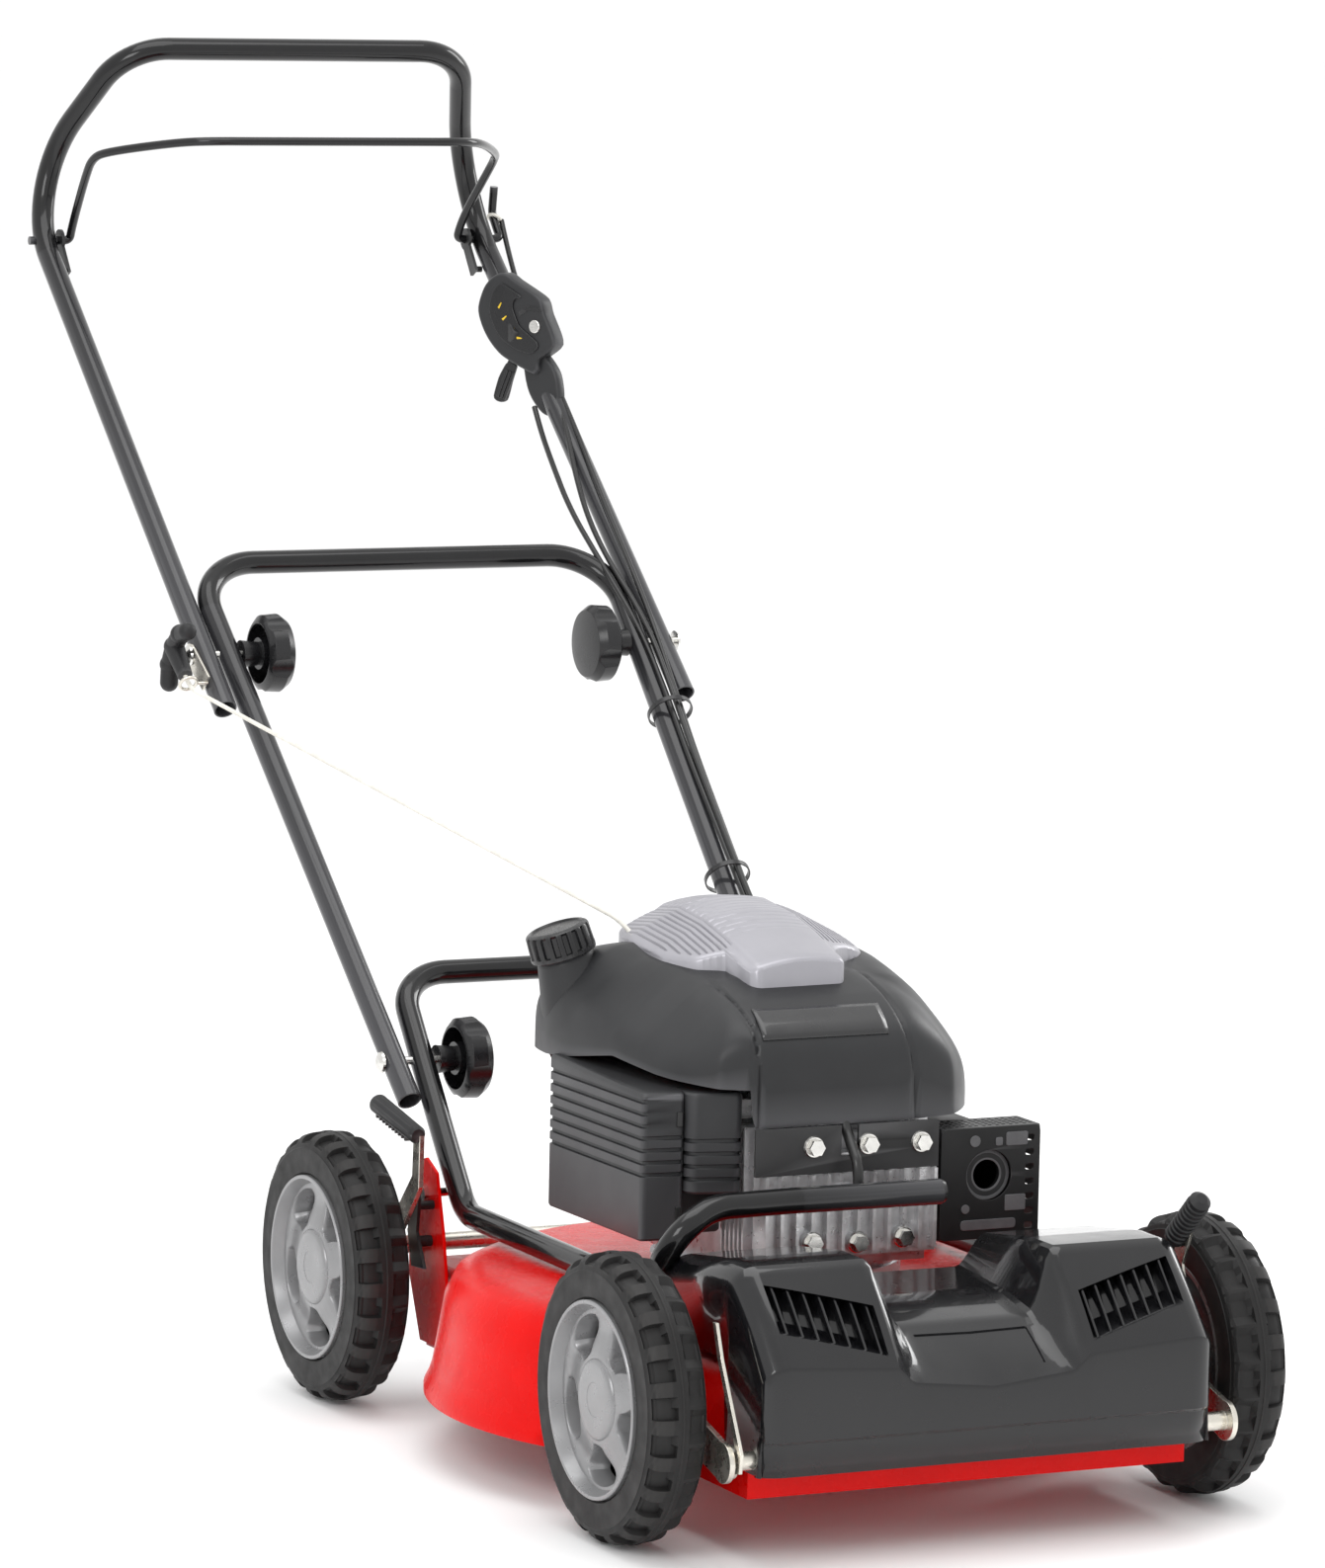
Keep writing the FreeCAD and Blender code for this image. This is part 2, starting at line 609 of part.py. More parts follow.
def piston():
    body = rod((CYL_X, 126, CYL_Z), (CYL_X, 166, CYL_Z), BORE_R)
    hollow = rod((CYL_X, 132, CYL_Z), (CYL_X, 170, CYL_Z), 26)
    pin = rod((CYL_X - 30, 152, CYL_Z), (CYL_X + 30, 152, CYL_Z), 6)
    return body.cut(hollow).fuse(pin).removeSplitter()


def blade_hub():
    flange = rod((0, DECK_Y, BLADE_Z + 4), (0, DECK_Y, BLADE_Z + 10), 34)
    sleeve = rod((0, DECK_Y, BLADE_Z + 10), (0, DECK_Y, 140), 20)
    bore = rod((0, DECK_Y, BLADE_Z + 8), (0, DECK_Y, 150), CRANK_R)
    hole = rod((0, DECK_Y, BLADE_Z - 5), (0, DECK_Y, BLADE_Z + 20), 5)
    return fused([flange, sleeve]).cut(bore).cut(hole)


def blade():
    half = [(60, -28), (170, -27), (BLADE_R - 3, -27), (BLADE_R, 20), (185, 27), (60, 28)]
    outline = half + [(-x, -y) for x, y in half]
    bar = plate_xy([(x, DECK_Y + y) for x, y in outline], BLADE_Z, BLADE_Z + 4)
    lift = plate_yz([(DECK_Y + 14, BLADE_Z + 4), (DECK_Y + 27, BLADE_Z + 4), (DECK_Y + 27, BLADE_Z + 16)],
                    188, BLADE_R - 7)
    lift_b = lift.copy()
    lift_b.rotate(V(0, DECK_Y, 0), Z, 180)
    hole = rod((0, DECK_Y, 0), (0, DECK_Y, 200), 5)
    return fused([bar, lift, lift_b]).cut(hole)


def blade_bolt():
    shank = rod((0, DECK_Y, BLADE_Z), (0, DECK_Y, BLADE_Z + 8), 5)
    washer = rod((0, DECK_Y, BLADE_Z - 3), (0, DECK_Y, BLADE_Z), 15)
    head = hexagon((0, DECK_Y, BLADE_Z - 3), V(0, 0, -1), 16, 8)
    return fused([shank, washer, head])


PULLEY = (0.0, DECK_Y + 40, 400.0)


def starter_pulley():
    x, y, _ = PULLEY
    return lathe([(380, 0), (380, 35), (384, 30), (390, 30), (394, 35), (394, 0)], (x, y, 0), Z, X)


# ---------------------------------------------------------------- height adjustment
def arm(pivot, hub, x0, x1):
    """A flat arm from the height shaft to the wheel's stub axle."""
    py, pz = pivot
    hy, hz = hub
    ends = [rod((x0, py, pz), (x1, py, pz), 17), rod((x0, hy, hz), (x1, hy, hz), 19)]
    length = math.hypot(hy - py, hz - pz)
    ny, nz = -(hz - pz) / length, (hy - py) / length
    web = plate_yz([(py + 16 * ny, pz + 16 * nz), (hy + 17 * ny, hz + 17 * nz),
                    (hy - 17 * ny, hz - 17 * nz), (py - 16 * ny, pz - 16 * nz)], x0, x1)
    return fused([web] + ends)


def axle(pivot, hub_y, lever):
    py, pz = pivot
    shaft = rod((-231, py, pz), (231, py, pz), 8)
    left = arm(pivot, (hub_y, WHEEL_R), -234, -229)
    right = mirrored(left)
    stub = rod((-WHEEL_X - 15.5, hub_y, WHEEL_R), (-231, hub_y, WHEEL_R), STUB_R)
    collar = rod((-WHEEL_X + 20.6, hub_y, WHEEL_R), (-231, hub_y, WHEEL_R), 13)
    return fused([shaft, left, right, stub, mirrored(stub), collar, mirrored(collar), lever])


def front_lever():
    return plate_yz([(-70, 120), (-48, 120), (-30, 200), (-26, 212), (-44, 240), (-56, 236), (-42, 206)],
                    229, 232)


def rear_lever():
    return plate_yz([(556, 132), (572, 146), (508, 214), (506, 256), (492, 254), (493, 205)], -234, -229)


def front_axle():
    return axle(FRONT_SHAFT, 0.0, front_lever())


def rear_axle():
    return axle(REAR_SHAFT, WHEELBASE, rear_lever())


def front_lever_grip():
    a = (226, -33, 226)
    b = (226, -78, 268)
    axis = V(b[0] - a[0], b[1] - a[1], b[2] - a[2])
    length = axis.Length
    axis.normalize()
    profile = [(0, 0), (0, 8.5)]
    for i in range(9):
        s = 4 + 5.6 * i
        profile += [(s, 9), (s + 1, 10.2), (s + 3.2, 10.2), (s + 4.2, 9)]
    profile += [(length - 4, 9.5), (length, 5), (length, 0)]
    return lathe(profile, a, axis, X).cut(front_lever())


def rear_lever_grip():
    a = (-235.4, 492, 252)
    b = (-235.4, 586, 267)
    axis = V(b[0] - a[0], b[1] - a[1], b[2] - a[2])
    length = axis.Length
    axis.normalize()
    profile = [(0, 0), (0, 6), (3, 8), (length - 6, 8.8), (length - 1, 6), (length, 0)]
    body = lathe(profile, a, axis, X)
    teeth = []
    for i in range(10):
        y = 512 + 7 * i
        z = 252 + (y - 492) * 15.0 / 94 - 11
        teeth.append(box(-239, y, z, -232, y + 3, z + 5))
    return fused([body] + teeth).cut(rear_lever())


def front_strap():
    outline = [(-84, 196), (-90, 196), (-101, 168), (-140, 98), (-138, 82), (-126, 80), (-124, 90),
               (-130, 100), (-94, 168)]
    strap = plate_yz(outline, -227.6, -224.6)
    eye = rod((-227.6, FRONT_SHAFT[0], FRONT_SHAFT[1]), (-224.6, FRONT_SHAFT[0], FRONT_SHAFT[1]), 14)
    hole = rod((-230, FRONT_SHAFT[0], FRONT_SHAFT[1]), (-220, FRONT_SHAFT[0], FRONT_SHAFT[1]), 8)
    return fused([strap, eye]).cut(hole)


def height_sectors():
    """The toothed plates the two height levers latch into."""
    rear = plate_yz([(506, 130), (534, 128), (544, 160), (540, 196), (528, 206), (520, 190), (524, 160)],
                    -222, -219)
    spacers = [rod((-219, 531, 150), (-204.5, 531, 150), 5), rod((-219, 527, 183), (-204.5, 527, 183), 4)]
    notches = [rod((-224, 546, 140 + 11 * i), (-216, 546, 140 + 11 * i), 3.4) for i in range(6)]
    rear = fused([rear] + spacers).cut(Part.makeCompound(notches))
    front = plate_yz([(-72, 150), (-50, 146), (-22, 180), (-26, 206), (-40, 214), (-56, 190)], 217, 220)
    lug = box(206, -66, 150, 217.5, -52, 164)
    front = fused([front, lug])
    return Part.makeCompound([rear, front])


def rear_flap():
    """The hinged guard behind the housing."""
    y, z = FLAP_PIN
    sheet = plate_yz([(y, z - 2), (y + 3, z), (y + 30, z - 52), (y + 27, z - 54)], -150, 150)
    barrel = rod((-150, y, z), (150, y, z), 6)
    bore = rod((-200, y, z), (200, y, z), 4 + RUN_FIT)
    return fused([sheet, barrel]).cut(bore)


def flap_rod():
    y, z = FLAP_PIN
    return rod((-201, y, z), (201, y, z), 4)


# ---------------------------------------------------------------- controls
def control_bail():
    """One bent wire across both legs, ending on the right in the cable hook."""
    points = [(-250, BAIL_Y, BAIL_Z), (-208, BAIL_Y, BAIL_Z), (-208, 1426, 1010), (-214, 1366, 1067),
              (-136, 1250, 1089), (136, 1250, 1089), (214, 1366, 1067), (208, 1426, 1010),
              (208, BAIL_Y, BAIL_Z), (HOOK_X, BAIL_Y, BAIL_Z), (HOOK_X, 1462, 1008), (HOOK_X, 1458, 1036)]
    return cord(points, [8, 8, 14, 20, 20, 14, 8, 8, 8, 10], 4.2)


def bail_clips():
    """Spring clips that close the bail's pivots on the inside of each leg."""
    plate = rod((216.5, BAIL_Y, BAIL_Z), (219.5, BAIL_Y, BAIL_Z), 11)
    tail = plate_yz([(1436, 986), (1446, 978), (1424, 948), (1412, 955)], 216.5, 219.5)
    post = rod((216.5, 1419, 955), (226, 1419, 955), 3)
    hole = rod((200, BAIL_Y, BAIL_Z), (240, BAIL_Y, BAIL_Z), 4.2 + RUN_FIT)
    return both(fused([plate, tail, post]).cut(hole).cut(upper_handle()))


THROTTLE = (1322.0, 908.0)


def throttle_housing():
    """A half-moon case on the inside of the right leg."""
    cy, cz = THROTTLE
    disc = lathe([(-8, 0), (-8, 36), (-4, 41), (10, 42), (14, 38), (14, 0)], (208, cy, cz), X, Z)
    foot = plate_yz([(cy - 12, cz - 42), (cy + 26, cz - 30), (cy + 46, cz + 2), (cy + 40, cz + 24),
                     (cy - 40, cz - 44), (cy - 62, cz - 66), (cy - 50, cz - 74)], 206, 222)
    room = rod((204, cy, cz), (211, cy, cz), 37).common(box(203, cy - 60, cz - 60, 212, cy + 60, cz + 10))
    mouth = plate_yz([(cy, cz + 10), (cy - 60, cz + 12), (cy - 60, cz - 60), (cy, cz - 60)], 204, 211)
    hub = rod((200, cy, cz), (211, cy, cz), 11 + RUN_FIT)
    return fused([disc, foot]).cut(room).cut(mouth).cut(hub)


def throttle_lever():
    cy, cz = THROTTLE
    hub = rod((204.4, cy, cz), (210.6, cy, cz), 11)
    stalk = plate_yz([(cy - 4, cz + 4), (cy - 10, cz - 6), (cy - 52, cz - 38), (cy - 56, cz - 32)], 205, 210)
    pad = lathe([(0, 0), (0, 8), (20, 9), (20, 0)], (197, cy - 54, cz - 36), X, Z)
    return fused([hub, stalk, pad])


def leg_cable(x_top, out_top, x_mid, end, start):
    """A control cable's route: down the right upper leg, over the joint, down to the engine."""
    return [start,
            beside(UPPER_JOINT, GRIP_BEND, 180, x_top, out_top),
            beside(UPPER_JOINT, GRIP_BEND, 10, x_mid + 8, 16),
            beside(MIDDLE_LOW, MIDDLE_UP, 400, x_mid, 16),
            beside(MIDDLE_LOW, MIDDLE_UP, 150, x_mid - 14, 17),
            end[0], end[1]]


CABLE_R = 2.6


def throttle_cable():
    cy, cz = THROTTLE
    points = leg_cable(222, 14, 216, ((150, 520, 372), (118, 432, 352)), (214, cy - 64, cz - 80))
    return cord(points, [60, 120, 200, 120, 60], CABLE_R)


def brake_cable():
    points = leg_cable(240, 15, 222, ((160, 516, 380), (106, 430, 362)), (264, 1456, 1002))
    return cord(points, [150, 120, 200, 120, 60], CABLE_R)


def cable_ties():
    out = []
    for s in (395, 190):
        c = V(*beside(MIDDLE_LOW, MIDDLE_UP, s, 213 - (395 - s) * 0.05, 4))
        d = (V(*MIDDLE_UP) - V(*MIDDLE_LOW)).normalize()
        ring = Part.makeCylinder(22, 5, c, d).cut(Part.makeCylinder(20.5, 7, c - d, d))
        out.append(ring)
    return Part.makeCompound(out)


# Pull direction of the starter grip: up the handle, on the outside of the left leg.
PULL = (V(*GRIP_BEND) - V(*UPPER_JOINT)).normalize()
GUIDE = V(-268.5, 962, 600)


def starter_grip():
    """A crescent bar across the pull direction with a stem down to the rope."""
    across = V(0, -PULL.z, PULL.y)
    centre = GUIDE + PULL * 46
    pts = []
    for s, back in ((-34, -12), (-20, -2), (0, 2), (20, -2), (34, -12)):
        pts.append(centre + across * s + PULL * back)
    bar = [Part.makeSphere(8.5 if i in (0, 4) else 9.5, p) for i, p in enumerate(pts)]
    for p, q in zip(pts[:-1], pts[1:]):
        bar.append(Part.makeCylinder(8.5, (q - p).Length, p, q - p))
    stem = Part.makeCone(9.5, 7, 36, centre, PULL * -1)
    return fused(bar + [stem])


def rope_guide():
    """A wire ring on a strap held by the upper left joint bolt."""
    ring = Part.makeTorus(8, 1.6, GUIDE, PULL)
    strap = plate_yz([(UPPER_Y - 9, UPPER_Z + 8), (UPPER_Y + 9, UPPER_Z - 6), (GUIDE.y + 10, GUIDE.z - 8),
                      (GUIDE.y - 4, GUIDE.z + 6)], -250.4, -248.4)
    eye = rod((-250.4, UPPER_Y, UPPER_Z), (-248.4, UPPER_Y, UPPER_Z), 11)
    arm_rod = rod((-249.4, GUIDE.y, GUIDE.z), (GUIDE.x + 8, GUIDE.y, GUIDE.z), 1.6)
    hole = rod((-260, UPPER_Y, UPPER_Z), (-240, UPPER_Y, UPPER_Z), 4)
    return fused([strap, eye, ring, arm_rod]).cut(hole)


def starter_rope():
    drop = GUIDE - PULL * 6
    points = [tuple(GUIDE + PULL * 9.5), tuple(drop), tuple(ROPE_END), ROPE_IN]
    return cord(points, [10, 12], 2.0)


NODES = {}


def node(name, shape):
    NODES[name] = shape


def main():
    turning = tyre()
    wheel = rim()
    corners = {"front_left": (-1, 0.0), "front_right": (1, 0.0),
               "rear_left": (-1, WHEELBASE), "rear_right": (1, WHEELBASE)}
    for name, (side, y) in corners.items():
        node("tyre_" + name, wheel_at(turning, side, y))
        node("rim_" + name, wheel_at(wheel, side, y))
    brackets, bolts = rear_brackets()
    node("deck", deck())
    node("rear_brackets", brackets)
    node("bracket_bolts", bolts)
    node("front_cowl", front_cowl())
    node("lower_frame", lower_frame())
    node("frame_end_cap", frame_end_cap())
    node("middle_handle", middle_handle())
    node("upper_handle", upper_handle())
    node("lower_joint_bolts", joint_bolts(206.4, LOWER_Y, LOWER_Z, 131))
    node("upper_joint_bolts", joint_bolts(250.5, UPPER_Y, UPPER_Z, 176))
    for name, side in (("left", -1), ("right", 1)):
        node("lower_knob_" + name, knob(side, 153.6, LOWER_Y, LOWER_Z))
        node("upper_knob_" + name, knob(side, 199.5, UPPER_Y, UPPER_Z))
    node("crankcase", crankcase())
    node("cylinder_head", cylinder_head())
    node("head_bolts", head_bolts())
    node("heat_shield", heat_shield())
    node("spark_plug", spark_plug())
    node("ignition_lead", ignition_lead())
    node("engine_shroud", engine_shroud())
    node("engine_cover", engine_cover())
    node("fuel_tank", fuel_tank())
    node("fuel_cap", fuel_cap())
    node("air_filter_cover", air_filter_cover())
    node("muffler", muffler())
    node("muffler_guard", muffler_guard())
    node("crankshaft", crankshaft())
    node("flywheel", flywheel())
    node("piston", piston())
    node("blade_hub", blade_hub())
    node("blade", blade())
    node("blade_bolt", blade_bolt())
    node("starter_pulley", starter_pulley())
    node("starter_grip", starter_grip())
    node("starter_rope", starter_rope())
    node("rope_guide", rope_guide())
    node("front_axle", front_axle())
    node("rear_axle", rear_axle())
    node("front_lever_grip", front_lever_grip())
    node("rear_lever_grip", rear_lever_grip())
    node("front_strap", front_strap())
    node("height_sectors", height_sectors())
    node("rear_flap", rear_flap())
    node("flap_rod", flap_rod())
    node("control_bail", control_bail())
    node("bail_clips", bail_clips())
    node("throttle_housing", throttle_housing())
    node("throttle_lever", throttle_lever())
    node("throttle_cable", throttle_cable())
    node("brake_cable", brake_cable())
    node("cable_ties", cable_ties())
    for name, shape in NODES.items():
        placed = shape.copy()
        placed.translate(V(0, -Y_SHIFT, 0))
        placed.exportStep("parts/" + name + ".step")
        print(name, placed.isValid(), len(placed.Solids), round(placed.Volume / 1000, 1))


main()
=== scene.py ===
import json
import math

import bmesh
import bpy
from mathutils import Matrix, Vector
from mathutils.geometry import interpolate_bezier
from mathutils.bvhtree import BVHTree
from mathutils.kdtree import KDTree


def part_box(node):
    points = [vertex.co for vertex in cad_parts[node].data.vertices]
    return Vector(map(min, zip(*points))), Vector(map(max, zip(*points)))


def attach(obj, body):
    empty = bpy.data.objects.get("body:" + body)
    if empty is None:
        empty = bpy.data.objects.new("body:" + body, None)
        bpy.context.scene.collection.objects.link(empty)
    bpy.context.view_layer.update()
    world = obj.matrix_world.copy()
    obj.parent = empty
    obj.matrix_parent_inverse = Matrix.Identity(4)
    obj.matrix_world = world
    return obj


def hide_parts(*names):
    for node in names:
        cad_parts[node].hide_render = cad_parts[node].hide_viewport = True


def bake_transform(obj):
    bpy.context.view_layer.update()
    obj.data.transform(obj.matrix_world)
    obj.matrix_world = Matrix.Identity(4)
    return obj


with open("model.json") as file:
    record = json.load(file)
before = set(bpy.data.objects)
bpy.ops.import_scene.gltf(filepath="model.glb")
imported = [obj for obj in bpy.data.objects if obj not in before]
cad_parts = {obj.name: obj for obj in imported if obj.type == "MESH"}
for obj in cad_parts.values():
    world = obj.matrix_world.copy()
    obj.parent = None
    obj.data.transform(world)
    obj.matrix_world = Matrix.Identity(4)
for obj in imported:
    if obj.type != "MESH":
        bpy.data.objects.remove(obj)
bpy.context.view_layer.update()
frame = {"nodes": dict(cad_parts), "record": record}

MM = 0.001
LEFT_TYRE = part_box("tyre_front_left")
AXLE_Y = (LEFT_TYRE[0].y + LEFT_TYRE[1].y) / 2
BODY_OF = {n: b for b, nodes in frame["record"]["behaviour"]["bodies"].items() for n in nodes}
SLOT_OF = {p["node"]: p["material_slot"] for p in frame["record"]["subparts"]}


def at(x, y, z):
    """A point given in millimetres, y from the front axle, z from the ground."""
    return Vector((x * MM, AXLE_Y + y * MM, z * MM))


# ------------------------ materials
CLOUD_SPAN = (0.32, 0.68)       # noise readings at the dark and the light end of the colour
EDGE_SPAN = (0.53, 0.62)        # pointiness where wear begins and where it is full
SMUDGE_SPAN = (0.3, 0.7)
SMUDGES_PER_PATCH = 3.1


def new_material(name, color, rough, metal=0.0, coat=0.0, coat_rough=0.04, vary=0.12, patch=14.0,
                 spread=0.06, grain=700.0, depth=0.00006, strength=0.35, second=None, worn=None,
                 anisotropy=0.0, shine=0.5):
    """Colour, roughness and relief all come from noise in the piece's own coordinates.

    patch and grain are the scales of the large and the fine noise, vary and spread are how far the
    colour and the roughness swing, depth is the relief in metres, second is the light end of the
    colour and worn is the colour of exposed edges.
    """
    m = bpy.data.materials.new(name)
    m.use_nodes = True
    nodes, links = m.node_tree.nodes, m.node_tree.links
    shader = nodes["Principled BSDF"]
    shader.inputs["Metallic"].default_value = metal
    shader.inputs["Coat Weight"].default_value = coat
    shader.inputs["Coat Roughness"].default_value = coat_rough
    shader.inputs["Anisotropic"].default_value = anisotropy
    shader.inputs["Specular IOR Level"].default_value = shine
    where = nodes.new("ShaderNodeTexCoord")

    def noise(scale, detail):
        node = nodes.new("ShaderNodeTexNoise")
        node.inputs["Scale"].default_value = scale
        node.inputs["Detail"].default_value = detail
        links.new(where.outputs["Object"], node.inputs["Vector"])
        return node

    def remapped(source, low, high):
        node = nodes.new("ShaderNodeMapRange")
        node.inputs["From Min"].default_value = low
        node.inputs["From Max"].default_value = high
        links.new(source, node.inputs["Value"])
        return node

    clouds = noise(patch, 5.0)
    clouds.inputs["Roughness"].default_value = 0.6
    ramp = nodes.new("ShaderNodeValToRGB")
    ramp.color_ramp.elements[0].position = CLOUD_SPAN[0]
    ramp.color_ramp.elements[1].position = CLOUD_SPAN[1]
    dark = [c * (1 - vary) for c in color]
    light = second or [min(1.0, c * (1 + vary)) for c in color]
    ramp.color_ramp.elements[0].color = (*dark, 1)
    ramp.color_ramp.elements[1].color = (*light, 1)
    links.new(clouds.outputs["Fac"], ramp.inputs["Fac"])
    colour = ramp.outputs["Color"]
    if worn:
        geo = nodes.new("ShaderNodeNewGeometry")
        edge = remapped(geo.outputs["Pointiness"], *EDGE_SPAN)
        mix = nodes.new("ShaderNodeMix")
        mix.data_type = "RGBA"
        mix.inputs["B"].default_value = (*worn, 1)
        links.new(edge.outputs["Result"], mix.inputs["Factor"])
        links.new(colour, mix.inputs["A"])
        colour = mix.outputs["Result"]
    links.new(colour, shader.inputs["Base Color"])

    smudge = noise(patch * SMUDGES_PER_PATCH, 4.0)
    span = remapped(smudge.outputs["Fac"], *SMUDGE_SPAN)
    span.inputs["To Min"].default_value = max(0.02, rough - spread)
    span.inputs["To Max"].default_value = min(1.0, rough + spread)
    links.new(span.outputs["Result"], shader.inputs["Roughness"])

    fine = noise(grain, 3.0)
    bump = nodes.new("ShaderNodeBump")
    bump.inputs["Strength"].default_value = strength
    bump.inputs["Distance"].default_value = depth
    links.new(fine.outputs["Fac"], bump.inputs["Height"])
    links.new(bump.outputs["Normal"], shader.inputs["Normal"])
    return m


LOOKS = {
    "red_paint": dict(color=(0.66, 0.0008, 0.0002), rough=0.27, coat=0.03, coat_rough=0.12, vary=0.04,
        shine=0.12, grain=420.0, depth=0.0005, strength=0.55, second=(0.72, 0.0014, 0.0004)),
    "cowl_black": dict(color=(0.006, 0.006, 0.007), rough=0.24, coat=0.7, shine=0.2, coat_rough=0.05,
        vary=0.1, spread=0.05, grain=60.0, depth=0.0002, strength=0.10),
    "tube_black": dict(color=(0.005, 0.005, 0.0055), rough=0.20, coat=0.5, shine=0.2, coat_rough=0.06,
        vary=0.2, spread=0.05, grain=260.0, depth=0.00012, strength=0.16, worn=(0.06, 0.06, 0.065)),
    "satin_black": dict(color=(0.011, 0.011, 0.0115), rough=0.40, shine=0.35, vary=0.22, grain=900.0,
        strength=0.4, worn=(0.07, 0.07, 0.072)),
    "housing_grey": dict(color=(0.024, 0.0245, 0.026), rough=0.40, shine=0.32, vary=0.12, patch=9.0,
        spread=0.05, grain=1500.0, depth=0.00005, strength=0.55, worn=(0.10, 0.10, 0.106)),
    "cover_silver": dict(color=(0.36, 0.355, 0.385), rough=0.34, metal=0.35, vary=0.05, spread=0.05,
        grain=1800.0, depth=0.00004, strength=0.3),
    "cap_black": dict(color=(0.009, 0.009, 0.010), rough=0.26, shine=0.45, vary=0.15, grain=1200.0,
        depth=0.00005, strength=0.5, worn=(0.06, 0.06, 0.062)),
    "cast_alloy": dict(color=(0.66, 0.66, 0.67), rough=0.36, metal=0.75, vary=0.20, patch=40.0,
        spread=0.12, grain=520.0, depth=0.0003, strength=0.6),
    "bolt_zinc": dict(color=(0.74, 0.73, 0.70), rough=0.18, metal=1.0, vary=0.10, patch=60.0,
        grain=400.0, strength=0.2),
    "zinc_plate": dict(color=(0.70, 0.67, 0.60), rough=0.28, metal=0.95, vary=0.14, patch=30.0,
        spread=0.10, grain=600.0, strength=0.3),
    "steel": dict(color=(0.42, 0.42, 0.43), rough=0.32, metal=1.0, vary=0.15, patch=25.0, spread=0.1,
        grain=700.0, strength=0.35, anisotropy=0.4),
    "tyre_black": dict(color=(0.012, 0.0115, 0.0115), rough=0.55, shine=0.3, vary=0.25, patch=20.0,
        spread=0.08, grain=1100.0, depth=0.0001, strength=0.5, worn=(0.055, 0.052, 0.05)),
    "rim_silver": dict(color=(0.27, 0.27, 0.275), rough=0.30, metal=0.5, vary=0.08, patch=20.0,
        spread=0.05, grain=1600.0, depth=0.00005, strength=0.3),
    "grip_black": dict(color=(0.014, 0.014, 0.015), rough=0.48, shine=0.35, vary=0.2, grain=900.0,
        strength=0.5, worn=(0.07, 0.07, 0.072)),
    "cable_black": dict(color=(0.012, 0.012, 0.012), rough=0.30, vary=0.2, grain=900.0, strength=0.3),
    "rope_white": dict(color=(0.74, 0.72, 0.66), rough=0.75, vary=0.12, patch=80.0, grain=1800.0,
        depth=0.0003, strength=0.8),
    "mark_yellow": dict(color=(0.75, 0.50, 0.02), rough=0.5, vary=0.1),
    "gasket_grey": dict(color=(0.10, 0.10, 0.105), rough=0.45, vary=0.15, patch=60.0, grain=900.0,
        strength=0.4),
    "label": dict(color=(0.010, 0.010, 0.011), rough=0.28, coat=0.4, vary=0.1, grain=300.0,
        strength=0.1),
}
M = {name: new_material(name, **look) for name, look in LOOKS.items()}

for name, o in frame["nodes"].items():
    o.data.materials.clear()
    o.data.materials.append(M[SLOT_OF[name]])


# ------------------------ mesh helpers
WELD = 2e-6                     # metres within which neighbouring points are one
FLAT_WITHIN = 0.6               # degrees between faces that are one flat face
EDGE_ANGLE = 34.0               # degrees from which an edge is broken
BOX_FACES = ((0, 1, 2, 3), (7, 6, 5, 4), (0, 4, 5, 1), (1, 5, 6, 2), (2, 6, 7, 3), (3, 7, 4, 0))


def show(name, mesh, body, material, *stands_for):
    """Piece made of a mesh, riding a body and standing in for the named solids."""
    o = bpy.data.objects.new(name, mesh)
    bpy.context.scene.collection.objects.link(o)
    if not mesh.materials:
        mesh.materials.append(M[material])
    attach(o, body)
    if stands_for:
        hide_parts(*stands_for)
    return o


def mesh_of(name, verts, faces, smooth=True, sharp=None):
    """Mesh with its faces turned outward, kept sharp at edges steeper than sharp degrees."""
    me = bpy.data.meshes.new(name)
    me.from_pydata([tuple(v) for v in verts], [], faces)
    me.validate()
    bm = bmesh.new()
    bm.from_mesh(me)
    bmesh.ops.recalc_face_normals(bm, faces=bm.faces)
    bm.to_mesh(me)
    bm.free()
    if smooth:
        me.shade_smooth()
    else:
        me.shade_flat()
    if sharp:
        me.set_sharp_from_angle(angle=math.radians(sharp))
    return me


def grid_faces(rows, cols, closed_rows=False, closed_cols=False, start=0):
    """Four-sided faces over a grid of points stored row by row from start."""
    faces = []
    for i in range(rows if closed_rows else rows - 1):
        for j in range(cols if closed_cols else cols - 1):
            a = start + i * cols + j
            b = start + i * cols + (j + 1) % cols
            c = start + ((i + 1) % rows) * cols + (j + 1) % cols
            d = start + ((i + 1) % rows) * cols + j
            faces.append((a, b, c, d))
    return faces


def softened(node, width):
    """The node's own solid with its sharp edges broken, as moulding and casting leave them."""
    src = frame["nodes"][node]
    bm = bmesh.new()
    bm.from_mesh(src.data)
    bmesh.ops.remove_doubles(bm, verts=bm.verts, dist=WELD)
    bmesh.ops.dissolve_limit(bm, angle_limit=math.radians(FLAT_WITHIN), verts=bm.verts, edges=bm.edges)
    me = bpy.data.meshes.new(node + "_soft")
    verts = [v.co.copy() for v in bm.verts]
    bm.verts.index_update()
    faces = [[v.index for v in f.verts] for f in bm.faces]
    bm.free()
    me.from_pydata(verts, [], faces)
    me.validate()
    me.shade_smooth()
    o = show(node + "_finished", me, BODY_OF[node], SLOT_OF[node], node)
    bevel = o.modifiers.new("edges", "BEVEL")
    bevel.width = width * MM
    bevel.segments = 2
    bevel.limit_method = "ANGLE"
    bevel.angle_limit = math.radians(EDGE_ANGLE)
    bevel.use_clamp_overlap = True
    bevel.harden_normals = True


